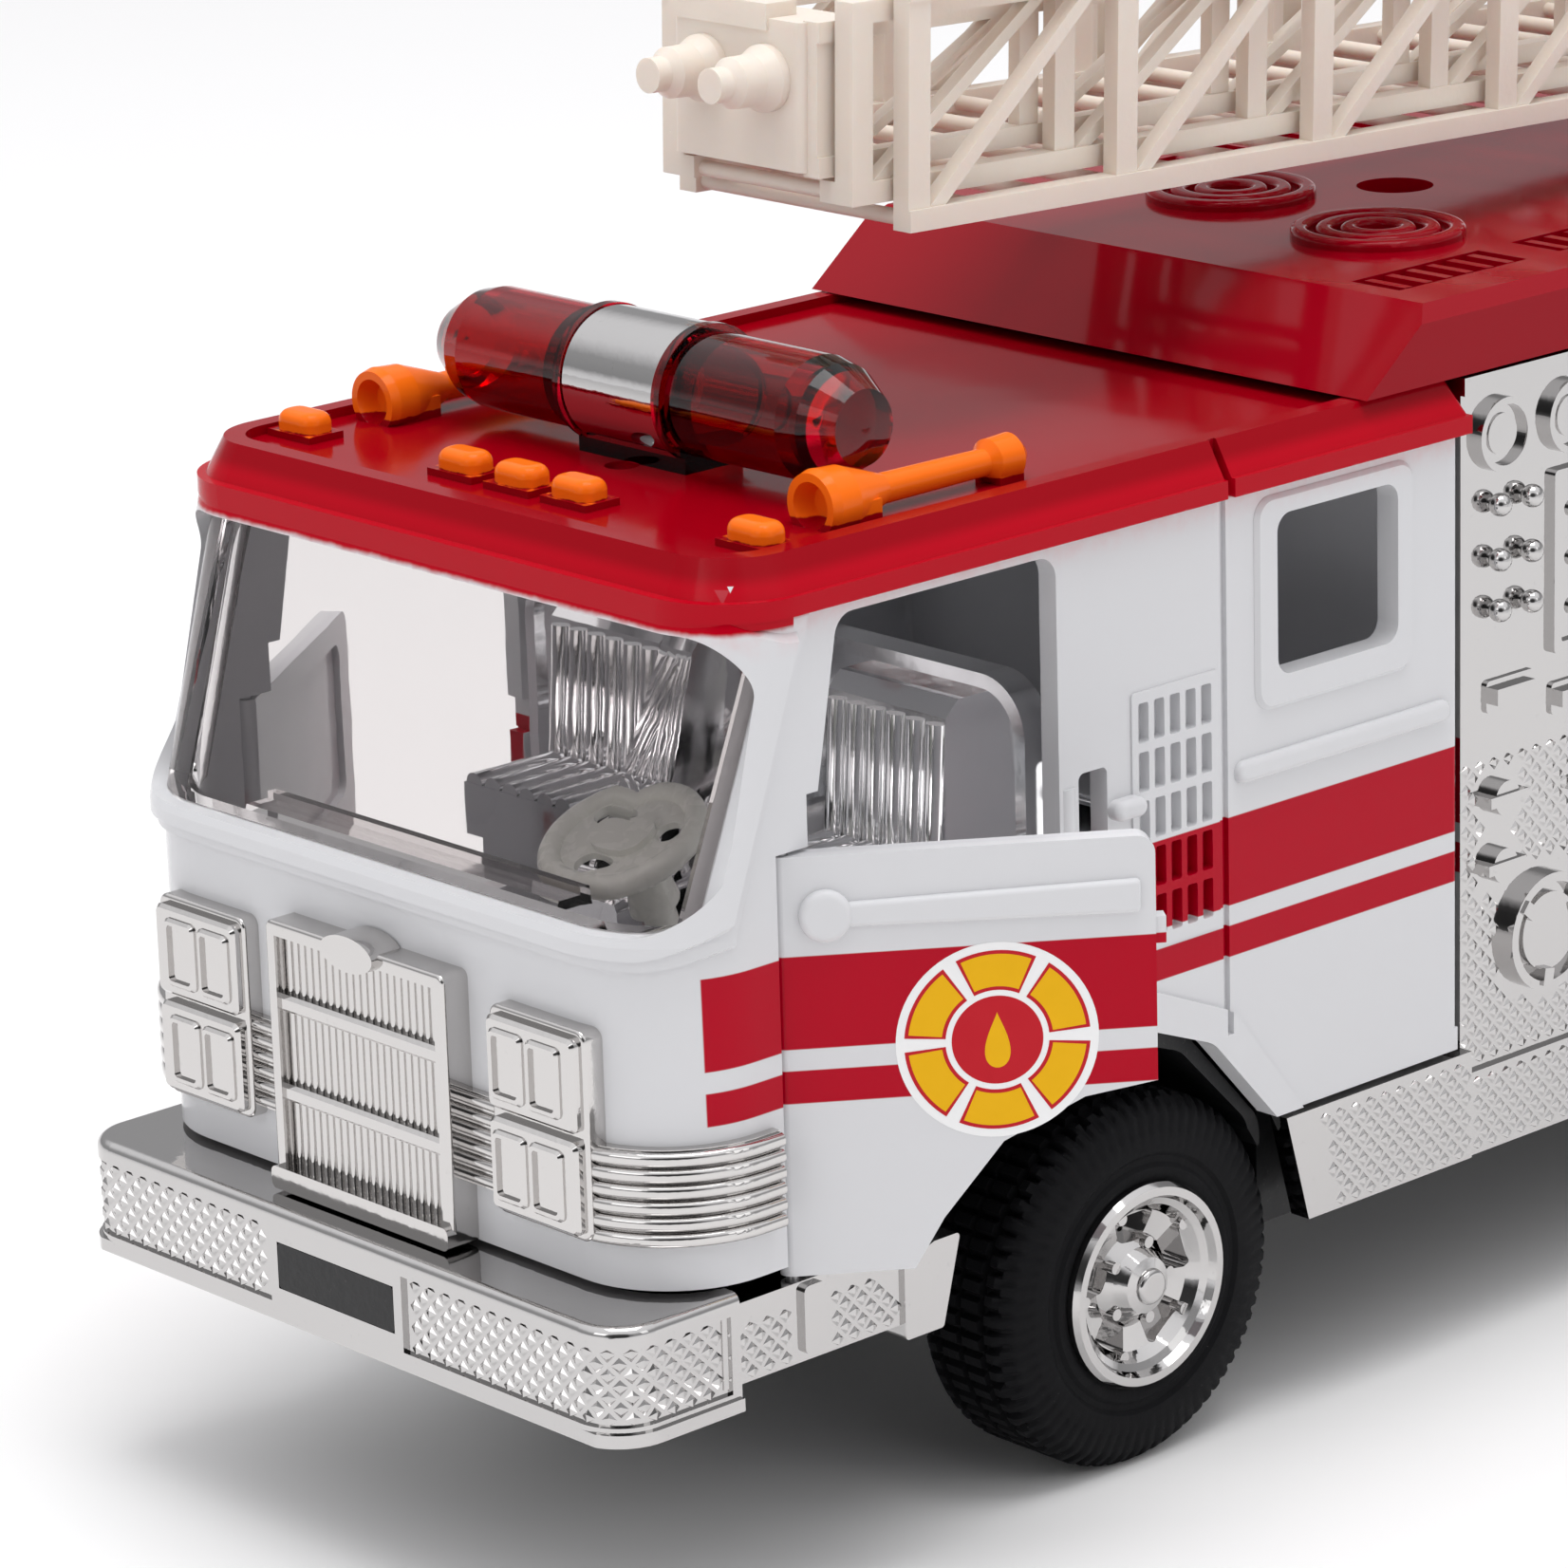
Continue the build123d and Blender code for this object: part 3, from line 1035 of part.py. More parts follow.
def ladder_middle():
    """Middle section; wide posts at its front end clear the inner section."""
    low = MIDDLE["low"]
    half = MIDDLE["half"]
    section = ladder_section(front=MIDDLE_FRONT, rear=SECTION_REAR, rungs_z=low + 0.6, **MIDDLE)
    post = block(half - 3.2, half, MIDDLE_FRONT, MIDDLE_FRONT + 1.9, low, MIDDLE["high"])
    section = section + both_sides(post - block(0, INNER["half"] + GAP, -200, 0, INNER["low"] - GAP, 20))
    for y in (MIDDLE_FRONT + 18, -60.0):
        section = section + block(-9.0, 9.0, y, y + 1.4, MIDDLE["high"] - 0.8, MIDDLE["high"])
    return section


def ladder_inner():
    """Inner section, whose nose carries two water nozzles."""
    low = INNER["low"]
    section = ladder_section(front=INNER_FRONT, rear=SECTION_REAR - 3.0, rungs_z=low + 0.6, **INNER)
    nose = block(-6.4, 6.4, INNER_FRONT - 0.6, INNER_FRONT + 4.4, low + 0.3, 5.6)
    nose = fillet(nose.edges().filter_by(Axis.Z).sort_by(Axis.Y)[:2], 0.6)
    brow = block(-6.0, 3.2, INNER_FRONT - 0.8, INNER_FRONT + 2.0, 4.8, 6.6)
    section = section + nose + brow
    for x in (-3.1, 3.1):
        profile = [(0, 0), (0, 1.2), (1.2, 1.2), (1.8, 1.75), (3.6, 1.8), (4.6, 2.3), (6.2, 2.3), (6.2, 0)]
        nozzle = Rot(0, 0, 90) * turned(profile)
        section = section + Pos(x, INNER_FRONT - 5.8, 1.6) * nozzle
    return section


def ladder_place(shape):
    """From the ladder's own frame to its place on the truck, tilted nose up."""
    return Pos(0, PIVOT_Y, PIVOT_Z) * Rot(-LADDER_TILT, 0, 0) * shape


# ---- export ----------------------------------------------------------------------------
def export_nodes(nodes):
    os.makedirs("parts", exist_ok=True)
    shift = Pos(0, -LENGTH / 2, 0)
    for name, shape in nodes.items():
        solids = shape if isinstance(shape, list) else [shape]
        moved = [shift * solid for solid in solids]
        whole = moved[0] if len(moved) == 1 else Compound(children=[s.solid() for s in moved])
        export_step(whole, "parts/" + name + ".step")


def build():
    left = opened(left_door(), DOOR_OPEN)
    front_rims = wheel_pair(front_rim(TYRE_WIDTH), TYRE_OUT, WHEEL_Y)
    rear_rims = wheel_pair(rear_rim(), TYRE_OUT_REAR, REAR_WHEEL_Y)
    outer_tyres = wheel_pair(tyre(TYRE_WIDTH_REAR), TYRE_OUT_REAR, REAR_WHEEL_Y)
    inner_out = TYRE_OUT_REAR - TYRE_WIDTH_REAR - TWIN_GAP
    inner_tyres = wheel_pair(tyre(TYRE_WIDTH_REAR), inner_out, REAR_WHEEL_Y)
    panel = left_side_panel()
    return {
        "cab_shell": cab_shell(),
        "windshield": windshield(),
        "front_fascia": front_fascia(),
        "front_bumper": front_bumper(),
        "number_plate": number_plate(),
        "lightbar_lens": lightbar_lens(),
        "lightbar_band": lightbar_band(),
        "cab_interior": cab_interior(),
        "steering_wheel": steering_wheel(),
        "left_door": left,
        "right_door": mirrored(left),
        "left_door_pin": door_pin(),
        "right_door_pin": mirrored(door_pin()),
        "chassis": chassis(),
        "chassis_screws": chassis_screws(),
        "front_axle": axle(WHEEL_Y, 27.2),
        "front_rims": front_rims,
        "front_tyres": wheel_pair(tyre(TYRE_WIDTH), TYRE_OUT, WHEEL_Y),
        "rear_axle": axle(REAR_WHEEL_Y, 26.9),
        "rear_rims": rear_rims,
        "rear_tyres": outer_tyres + inner_tyres,
        "motor_case": motor_case(),
        "motor_cover": motor_cover(),
        "motor_screws": motor_screws(),
        "axle_gear": axle_gear(),
        "spring_gear": spring_gear(),
        "motor_shaft": motor_shaft(),
        "mainspring": mainspring(),
        "rear_deck": rear_deck(),
        "left_side_panel": panel,
        "right_side_panel": mirrored(panel),
        "rear_panel": rear_panel(),
        "tail_lights": tail_lights(),
        "tailboard": tailboard(),
        "turntable_ring": turntable_ring(),
        "turntable": turntable(),
        "turntable_pivot": turntable_pivot(),
        "ladder_pin": ladder_pin(),
        "ladder_outer": ladder_place(ladder_outer()),
        "ladder_middle": ladder_place(ladder_middle()),
        "ladder_inner": ladder_place(ladder_inner()),
    }


export_nodes(build())
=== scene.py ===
"""Looks for the toy fire engine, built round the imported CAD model.

Lengths are millimetres in the code and metres in Blender. A place is given as (x, u, z):
x across the truck, u back from the front face of the bumper, z up from the ground.
"""
import bpy
import math
from mathutils import Matrix, Vector


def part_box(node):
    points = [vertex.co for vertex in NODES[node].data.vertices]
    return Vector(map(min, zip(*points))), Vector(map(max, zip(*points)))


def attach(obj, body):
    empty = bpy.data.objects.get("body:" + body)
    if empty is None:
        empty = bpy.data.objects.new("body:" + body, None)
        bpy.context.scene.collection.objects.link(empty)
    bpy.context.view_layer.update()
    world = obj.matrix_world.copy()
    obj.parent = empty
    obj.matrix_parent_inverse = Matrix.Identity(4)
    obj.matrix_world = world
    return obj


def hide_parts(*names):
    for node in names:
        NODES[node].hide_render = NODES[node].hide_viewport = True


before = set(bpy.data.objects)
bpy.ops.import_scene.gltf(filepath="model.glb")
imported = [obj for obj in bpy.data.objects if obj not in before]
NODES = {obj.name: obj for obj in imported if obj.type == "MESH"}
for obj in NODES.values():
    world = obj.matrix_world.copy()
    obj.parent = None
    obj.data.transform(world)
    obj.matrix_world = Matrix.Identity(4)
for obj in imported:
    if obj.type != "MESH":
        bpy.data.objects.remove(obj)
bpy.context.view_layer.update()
MM = 0.001
FRONT_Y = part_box("front_bumper")[0].y      # metres; u is measured from here
FRONT = -FRONT_Y / MM                      # the same in millimetres

# ---- sizes shared with the CAD parts, millimetres ------------------------------------
SIDE = 28.0
DOOR_HINGE = (27.2, 16.6)
DOOR_OPEN = math.radians(36.0)
WIDE_STRIPE = (39.2, 45.5)
THIN_STRIPE = (35.5, 37.75)
ROOF_RED_FROM = 68.05
BADGE = (30.3, 39.0)                       # u and z of the door badge's centre
BADGE_R = 6.1
TYRE_R = 13.4
RIM_R = 7.4
WHEELS = {"front": 49.5, "rear": 160.0}
PLATE_PITCH = 1.55
SKY_STRENGTH = 1.15
KEY_WATTS = 2.8
FRONT_WATTS = 0.35
SIDE_WATTS = 0.25
LIT_POINT = (0, 0, 0.04)                   # metres; where the three lamps aim
DIM_SIDE = (0.71, -0.645, 0.28)            # fixed in the world; the main camera's own direction
STRIPES_FROM = 10.0                        # u where both printed stripes begin
SKIN = 26.5                                # x inside which the shell counts as inside
LAMP_FEET = 71.85                          # z above which the roof lamps are amber
FRONT_SKIRT_U = 10.0
REAR_SKIRT_U = 64.6
PUMP_U, PUMP_Z = 81.7, 21.0
PUMP_FITTINGS = (                          # u, z and radius kept free of tread
    (90.4, 29.5, 5.4), (102.5, 33.0, 4.4), (102.5, 22.5, 3.6), (85.6, 40.6, 2.6),
    (85.4, 35.6, 2.6), (95.6, 39.6, 2.6), (109.0, 40.0, 2.6))
TYRE_STEPS = 360
LENS = 148.71                              # millimetres, on a sensor 36 wide
SENSOR = 36.0
CAMERA_TURN = (47.74, 16.69, -1.73)        # degrees of azimuth, elevation and roll
CAMERA_PLACE = (320.54, -355.41, 175.63)   # millimetres, in the CAD frame


# ---- mesh helpers -----------------------------------------------------------------------
def place(x, u, z):
    return Vector((x * MM, FRONT_Y + u * MM, z * MM))


def piece(name, verts, faces, body, material, smooth=None, stands_for=()):
    """A mesh piece from places in millimetres; smooth is the angle below which edges are smooth."""
    mesh = bpy.data.meshes.new(name)
    mesh.from_pydata([place(*v) for v in verts], [], faces)
    mesh.validate()
    mesh.update()
    if smooth is not None:
        mesh.shade_smooth()
        mesh.set_sharp_from_angle(angle=math.radians(smooth))
    mesh.materials.append(material)
    thing = bpy.data.objects.new(name, mesh)
    bpy.context.scene.collection.objects.link(thing)
    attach(thing, body)
    if stands_for:
        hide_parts(*stands_for)
    return thing


def finish_node(name, material):
    """Give a CAD node its one material."""
    thing = NODES[name]
    thing.data.materials.clear()
    thing.data.materials.append(material)
    thing.data.polygons.foreach_set("material_index", [0] * len(thing.data.polygons))
    return thing


# ---- shader helper ----------------------------------------------------------------------
class Shade:
    """A Principled material with places in millimetres at hand."""

    def __init__(self, name, colour=(0.8, 0.8, 0.8), roughness=0.4, **sockets):
        self.mat = bpy.data.materials.new(name)
        self.mat.use_nodes = True
        self.tree = self.mat.node_tree
        self.bsdf = self.tree.nodes["Principled BSDF"]
        self.set("Base Color", (*colour, 1.0))
        self.set("Roughness", roughness)
        for key, value in sockets.items():
            self.set(key.replace("_", " "), value)
        coords = self.add("ShaderNodeTexCoord")
        scale = self.add("ShaderNodeVectorMath", operation="SCALE")
        self.join(coords.outputs["Object"], scale.inputs[0])
        scale.inputs["Scale"].default_value = 1.0 / MM
        self.mm = scale.outputs[0]
        self.x, self.y, self.z = self.split(self.mm)
        self.u = self.op("ADD", self.y, FRONT)
        self.side = self.op("ABSOLUTE", self.x)

    def set(self, socket, value):
        self.bsdf.inputs[socket].default_value = value

    def add(self, kind, **props):
        node = self.tree.nodes.new(kind)
        for key, value in props.items():
            setattr(node, key, value)
        return node

    def join(self, a, b):
        self.tree.links.new(a, b)

    def feed(self, socket, value):
        if hasattr(value, "links"):
            self.join(value, socket)
        else:
            socket.default_value = value

    def op(self, operation, a, b=None, c=None):
        node = self.add("ShaderNodeMath", operation=operation)
        for socket, value in zip(node.inputs, (a, b, c)):
            if value is not None:
                self.feed(socket, value)
        return node.outputs[0]

    def split(self, vector):
        node = self.add("ShaderNodeSeparateXYZ")
        self.join(vector, node.inputs[0])
        return node.outputs[0], node.outputs[1], node.outputs[2]

    def above(self, value, edge, soft=0.02):
        """0 below the edge and 1 above it."""
        node = self.add("ShaderNodeMapRange", interpolation_type="SMOOTHSTEP")
        self.feed(node.inputs["Value"], value)
        node.inputs["From Min"].default_value = edge - soft
        node.inputs["From Max"].default_value = edge + soft
        return node.outputs["Result"]

    def within(self, value, low, high, soft=0.02):
        return self.op("SUBTRACT", self.above(value, low, soft), self.above(value, high, soft))

    def both(self, *values):
        result = values[0]
        for value in values[1:]:
            result = self.op("MULTIPLY", result, value)
        return result

    def either(self, *values):
        result = values[0]
        for value in values[1:]:
            result = self.op("MAXIMUM", result, value)
        return result

    def outside(self, value):
        return self.op("SUBTRACT", 1.0, value)

    def noise(self, size, detail=3.0, stretch=None, roughness=0.5):
        """Noise of about 0 to 1 whose features are size millimetres across."""
        node = self.add("ShaderNodeTexNoise")
        vector = self.mm
        if stretch:
            warp = self.add("ShaderNodeVectorMath", operation="MULTIPLY")
            self.join(vector, warp.inputs[0])
            warp.inputs[1].default_value = stretch
            vector = warp.outputs[0]
        self.join(vector, node.inputs["Vector"])
        node.inputs["Scale"].default_value = 1.0 / size
        node.inputs["Detail"].default_value = detail
        node.inputs["Roughness"].default_value = roughness
        return node.outputs["Fac"]

    def vary(self, value, low, high, old=(0.0, 1.0)):
        node = self.add("ShaderNodeMapRange")
        self.feed(node.inputs["Value"], value)
        node.inputs["From Min"].default_value = old[0]
        node.inputs["From Max"].default_value = old[1]
        node.inputs["To Min"].default_value = low
        node.inputs["To Max"].default_value = high
        return node.outputs["Result"]

    def paint(self, factor, under, over):
        """Colour over laid on colour under where factor is 1."""
        node = self.add("ShaderNodeMix", data_type="RGBA")
        self.feed(node.inputs["Factor"], factor)
        for index, colour in ((6, under), (7, over)):
            if hasattr(colour, "links"):
                self.join(colour, node.inputs[index])
            else:
                node.inputs[index].default_value = (*colour, 1.0)
        return node.outputs[2]

    def colour(self, value):
        self.join(value, self.bsdf.inputs["Base Color"])

    def rough(self, value):
        self.join(value, self.bsdf.inputs["Roughness"])

    def bump(self, height, depth, strength=1.0):
        """Bump whose height socket spans depth millimetres."""
        node = self.add("ShaderNodeBump")
        self.join(height, node.inputs["Height"])
        node.inputs["Distance"].default_value = depth * MM
        node.inputs["Strength"].default_value = strength
        self.join(node.outputs["Normal"], self.bsdf.inputs["Normal"])


WHITE = (0.70, 0.70, 0.715)
RED = (0.44, 0.0, 0.014)
ROOF_RED = (0.46, 0.0, 0.010)
SHADED_ROOF_TOP_RED = (0.31, 0.0, 0.006)              # painted shade: a darker red for the roof top, standing in for how dark it looks under the light
DECK_RED = (0.30, 0.0, 0.007)
AMBER = (0.95, 0.17, 0.008)
GOLD = (0.80, 0.43, 0.004)


# ---- materials --------------------------------------------------------------------------
def enamel(shade, base):
    """Orange peel, thickness variation and fine dust common to the painted castings."""
    cloud = shade.noise(14.0, 1.0)
    toned = shade.paint(shade.vary(cloud, 0.0, 0.10), base, (0.65, 0.66, 0.69))
    shade.rough(shade.vary(shade.noise(2.5, 2.0), 0.09, 0.16))
    shade.bump(shade.noise(6.0, 1.0), 0.03)
    return toned


def stripes(shade, across, start):
    """The two printed stripes: a wide one over a thin one."""
    wide = shade.within(shade.z, *WIDE_STRIPE, 0.05)
    thin = shade.within(shade.z, *THIN_STRIPE, 0.05)
    return shade.both(shade.either(wide, thin), across, start)


def cab_paint():
    shade = Shade("cab_enamel", WHITE, 0.12, Specular_IOR_Level=0.12)
    base = enamel(shade, WHITE)
    ragged = shade.noise(1.1, 4.0)
    # stripes on the outer sides, cut off short of the front corner
    slanted = shade.op("ADD", shade.u, shade.op("MULTIPLY", shade.z, 0.012))
    start = shade.above(slanted, STRIPES_FROM, 0.06)
    outer = shade.above(shade.side, SKIN, 0.03)
    base = shade.paint(stripes(shade, outer, start), base, RED)
    # the roof sprayed red from above, with a soft edge under its lip
    brow = shade.op("MULTIPLY", shade.outside(shade.above(shade.u, 17.2)), 0.6)
    edge = shade.op("ADD", shade.op("ADD", shade.z, brow), shade.vary(ragged, -0.16, 0.16))
    shell = shade.either(
        shade.above(shade.side, 26.6), shade.above(shade.z, 70.4),
        shade.outside(shade.above(shade.u, 13.6)), shade.above(shade.u, 79.4))
    mist = shade.both(
        shade.within(edge, 66.9, 68.6, 0.9), shell, shade.vary(ragged, 0.02, 0.14, (0.35, 0.7)))
    base = shade.paint(mist, base, (0.75, 0.12, 0.14))
    roof = shade.both(shade.above(edge, ROOF_RED_FROM, 0.22), shell)
    base = shade.paint(roof, base, ROOF_RED)
    # painted shade: the roof top above z 70.6 gets the darker red
    base = shade.paint(shade.both(shade.above(shade.z, 70.6, 0.5), roof), base, SHADED_ROOF_TOP_RED)
    # amber on the lamps and horns, brushed on so that red shows round their feet
    brushed = shade.op("ADD", shade.z, shade.vary(ragged, -0.22, 0.22))
    top = shade.above(brushed, LAMP_FEET, 0.06)
    field = shade.both(
        shade.outside(shade.above(shade.side, 25.2)), shade.within(shade.u, 16.6, 45.0))
    base = shade.paint(shade.both(top, field), base, AMBER)
    # painted shade: mottled grey laid on the inside of the cab and in its seams
    inside = shade.both(
        shade.outside(shade.above(shade.side, SKIN)), shade.outside(shade.above(shade.z, 70.2)),
        shade.above(shade.u, 13.0))
    inner_shade = shade.vary(shade.noise(5.0), 0.02, 0.16)
    base = shade.paint(shade.both(inside, inner_shade), base, (0.45, 0.45, 0.50))
    shade.colour(base)
    return shade.mat


def door_paint(name, hand):
    """hand is 1 for the driver's door and -1 for the other; both stand open in the frame."""
    shade = Shade(name, WHITE, 0.12, Specular_IOR_Level=0.12)
    base = enamel(shade, WHITE)
    turn = shade.add("ShaderNodeVectorRotate", rotation_type="Z_AXIS")
    shade.join(shade.mm, turn.inputs["Vector"])
    turn.inputs["Center"].default_value = (hand * DOOR_HINGE[0], DOOR_HINGE[1] - FRONT, 0)
    turn.inputs["Angle"].default_value = hand * DOOR_OPEN
    shut_x, shut_y, _ = shade.split(turn.outputs[0])
    shut_side = shade.op("ABSOLUTE", shut_x)
    shut_u = shade.op("ADD", shut_y, FRONT)
    face = shade.above(shut_side, 27.7, 0.03)
    base = shade.paint(stripes(shade, face, shade.above(shut_u, STRIPES_FROM)), base, RED)
    # painted shade: mottled grey laid on the door's inner face and edges
    back = shade.outside(shade.above(shut_side, 27.2))
    inner_shade = shade.vary(shade.noise(5.0), 0.0, 0.2)
    base = shade.paint(shade.both(back, inner_shade), base, (0.4, 0.4, 0.45))
    shade.colour(base)
    return shade.mat


def chrome(name, tint=(0.54, 0.53, 0.525), rough=(0.03, 0.09), ripple=0.022, size=1.8):
    """Vacuum plating over moulded plastic: bright, slightly wavy, faintly clouded."""
    shade = Shade(name, tint, 0.1, Metallic=1.0)
    haze = shade.noise(6.0, 3.0)
    shade.rough(shade.vary(haze, *rough, (0.35, 0.7)))
    worn = shade.above(shade.noise(0.7, 5.0, roughness=0.6), 0.69, 0.04)
    shade.colour(shade.paint(shade.op("MULTIPLY", worn, 0.35), tint, tuple(c * 0.8 for c in tint)))
    shade.bump(shade.noise(size, 3.0), ripple)
    return shade.mat


def red_plastic():
    shade = Shade("red_plastic", DECK_RED, 0.12, Specular_IOR_Level=0.13)
    cloud = shade.vary(shade.noise(12.0, 2.0), 0.0, 0.25)
    shade.colour(shade.paint(cloud, DECK_RED, (0.26, 0.0, 0.010)))
    shade.rough(shade.vary(shade.noise(2.0, 2.0), 0.06, 0.12))
    shade.bump(shade.noise(8.0, 1.0), 0.03)
    return shade.mat


def ladder_plastic():
    shade = Shade(
        "ivory_plastic", (0.80, 0.73, 0.65), 0.4,
        Subsurface_Weight=0.22, Subsurface_Scale=0.0012, Specular_IOR_Level=0.3)
    shade.set("Subsurface Radius", (1.0, 0.55, 0.35))
    cloud = shade.vary(shade.noise(7.0, 3.0), 0.0, 0.5)
    shade.colour(shade.paint(cloud, (0.82, 0.74, 0.66), (0.75, 0.66, 0.565)))
    shade.rough(shade.vary(shade.noise(1.2, 4.0), 0.32, 0.48))
    shade.bump(shade.noise(1.0, 4.0), 0.035)
    return shade.mat


def black_plastic(name, colour=(0.008, 0.008, 0.009), rough=(0.30, 0.48)):
    shade = Shade(name, colour, 0.4, Specular_IOR_Level=0.3)
    dust = shade.above(shade.noise(0.35, 5.0, roughness=0.7), 0.66, 0.05)
    shade.colour(shade.paint(shade.op("MULTIPLY", dust, 0.12), colour, (0.30, 0.28, 0.26)))
    shade.rough(shade.vary(shade.noise(1.5, 4.0), *rough))
    shade.bump(shade.noise(0.8, 3.0), 0.03)
    return shade.mat


def rubber():
    shade = Shade("tyre_rubber", (0.006, 0.006, 0.0065), 0.6, Specular_IOR_Level=0.08)
    lint = shade.above(shade.noise(0.22, 6.0, roughness=0.75), 0.70, 0.03)
    low = shade.outside(shade.above(shade.z, 11.0, 6.0))
    speck = shade.both(lint, shade.vary(low, 0.12, 0.8))
    shade.colour(shade.paint(speck, (0.007, 0.007, 0.008), (0.42, 0.40, 0.37)))
    shade.rough(shade.vary(shade.noise(1.2, 4.0), 0.48, 0.68))
    shade.bump(shade.noise(0.5, 4.0), 0.04)
    return shade.mat


def clear(name, tint, roughness=0.01, ior=1.46, ripple=0.02, size=6.0, gloss=0.5):
    shade = Shade(name, tint, roughness, Transmission_Weight=1.0, IOR=ior, Specular_IOR_Level=gloss)
    shade.rough(shade.vary(shade.noise(3.0, 3.0), roughness, roughness + 0.035, (0.4, 0.7)))
    cloud = shade.vary(shade.noise(size, 2.0), 0.0, 0.2)
    shade.colour(shade.paint(cloud, tint, tuple(c * 0.92 for c in tint)))
    shade.bump(shade.noise(size, 2.0), ripple)
    return shade.mat


def milky():
    shade = Shade(
        "milky_plastic", (0.86, 0.87, 0.82), 0.25, Subsurface_Weight=0.3, Subsurface_Scale=0.001)
    shade.set("Subsurface Radius", (1.0, 1.0, 1.0))
    cloud = shade.vary(shade.noise(3.0, 2.0), 0.0, 0.4)
    shade.colour(shade.paint(cloud, (0.86, 0.87, 0.82), (0.74, 0.76, 0.70)))
    shade.rough(shade.vary(shade.noise(1.0, 3.0), 0.2, 0.34))
    return shade.mat


def turned_steel(name, tint=(0.55, 0.55, 0.56), grain=(0.05, 1.0, 1.0)):
    shade = Shade(name, tint, 0.3, Metallic=1.0)
    lines = shade.noise(0.25, 3.0, grain)
    shade.colour(shade.paint(shade.vary(lines, 0.0, 0.5), tint, tuple(c * 0.7 for c in tint)))
    shade.rough(shade.vary(lines, 0.22, 0.42))
    shade.bump(lines, 0.01)
    return shade.mat


def nylon():
    shade = Shade(
        "white_nylon", (0.78, 0.78, 0.76), 0.35, Subsurface_Weight=0.2, Subsurface_Scale=0.001)
    cloud = shade.vary(shade.noise(4.0), 0.0, 0.4)
    shade.colour(shade.paint(cloud, (0.78, 0.78, 0.76), (0.68, 0.68, 0.65)))
    shade.rough(shade.vary(shade.noise(1.0, 3.0), 0.3, 0.45))
    return shade.mat


def printed(name, colour):
    """Pad-printed ink, a little duller than the paint below it."""
    shade = Shade(name, colour, 0.38, Specular_IOR_Level=0.12)
    fade = tuple(min(1.0, c * 1.12 + 0.01) for c in colour)
    shade.colour(shade.paint(shade.vary(shade.noise(1.6, 4.0), 0.0, 0.5), colour, fade))
    shade.rough(shade.vary(shade.noise(0.8, 3.0), 0.32, 0.46))
    return shade.mat


CAB = cab_paint()
CHROME = chrome("chrome_plate")
SATIN = chrome("chrome_satin", (0.60, 0.585, 0.575), (0.05, 0.13), 0.02, 1.4)
# painted light: a far brighter copy of the chrome for the inside of the cab, standing in for light
# that reaches it
LIT_SEAT_CHROME = chrome("chrome_interior_painted_light", (0.93, 0.93, 0.94), (0.05, 0.14), 0.02, 3.5)
RED_PLASTIC = red_plastic()
IVORY = ladder_plastic()
BLACK = black_plastic("black_plastic")
GLOSS_BLACK = black_plastic("black_gloss", (0.008, 0.008, 0.009), (0.10, 0.22))
RUBBER = rubber()
CLEAR = clear("clear_plastic", (0.75, 0.72, 0.715), ior=1.2, gloss=1.0)
RED_CLEAR = clear("red_clear", (0.52, 0.001, 0.014), 0.02, 1.40, 0.012, 4.0, 0.3)
MILKY = milky()
STEEL = turned_steel("steel")
BRASS = turned_steel("brass", (0.70, 0.50, 0.20))
NYLON = nylon()
INK_WHITE = printed("ink_white", (0.86, 0.86, 0.86))
INK_GOLD = printed("ink_gold", GOLD)
INK_RED = printed("ink_red", (0.50, 0.01, 0.02))

FINISHES = {
    "cab_shell": CAB,
    "windshield": CLEAR,
    "front_fascia": SATIN,
    "front_bumper": CHROME,
    "number_plate": GLOSS_BLACK,
    "lightbar_lens": RED_CLEAR,
    "lightbar_band": CHROME,
    "cab_interior": LIT_SEAT_CHROME,
    "steering_wheel": MILKY,
    "left_door": door_paint("left_door_enamel", 1),
    "right_door": door_paint("right_door_enamel", -1),
    "left_door_pin": STEEL,
    "right_door_pin": STEEL,
    "chassis": BLACK,
    "chassis_screws": STEEL,
    "front_axle": STEEL,
    "front_rims": CHROME,
    "rear_axle": STEEL,
    "rear_rims": CHROME,
    "motor_case": NYLON,
    "motor_cover": NYLON,
    "motor_screws": STEEL,
    "axle_gear": BRASS,
    "spring_gear": NYLON,
    "motor_shaft": STEEL,
    "mainspring": STEEL,
    "rear_deck": RED_PLASTIC,
    "left_side_panel": CHROME,
    "right_side_panel": CHROME,
    "rear_panel": CHROME,
    "tail_lights": RED_CLEAR,
    "tailboard": CHROME,
    "turntable_ring": BLACK,
    "turntable": RED_PLASTIC,
    "turntable_pivot": STEEL,
    "ladder_pin": STEEL,
    "ladder_outer": IVORY,
    "ladder_middle": IVORY,
    "ladder_inner": IVORY,
}
for node_name, finish in FINISHES.items():
    finish_node(node_name, finish)


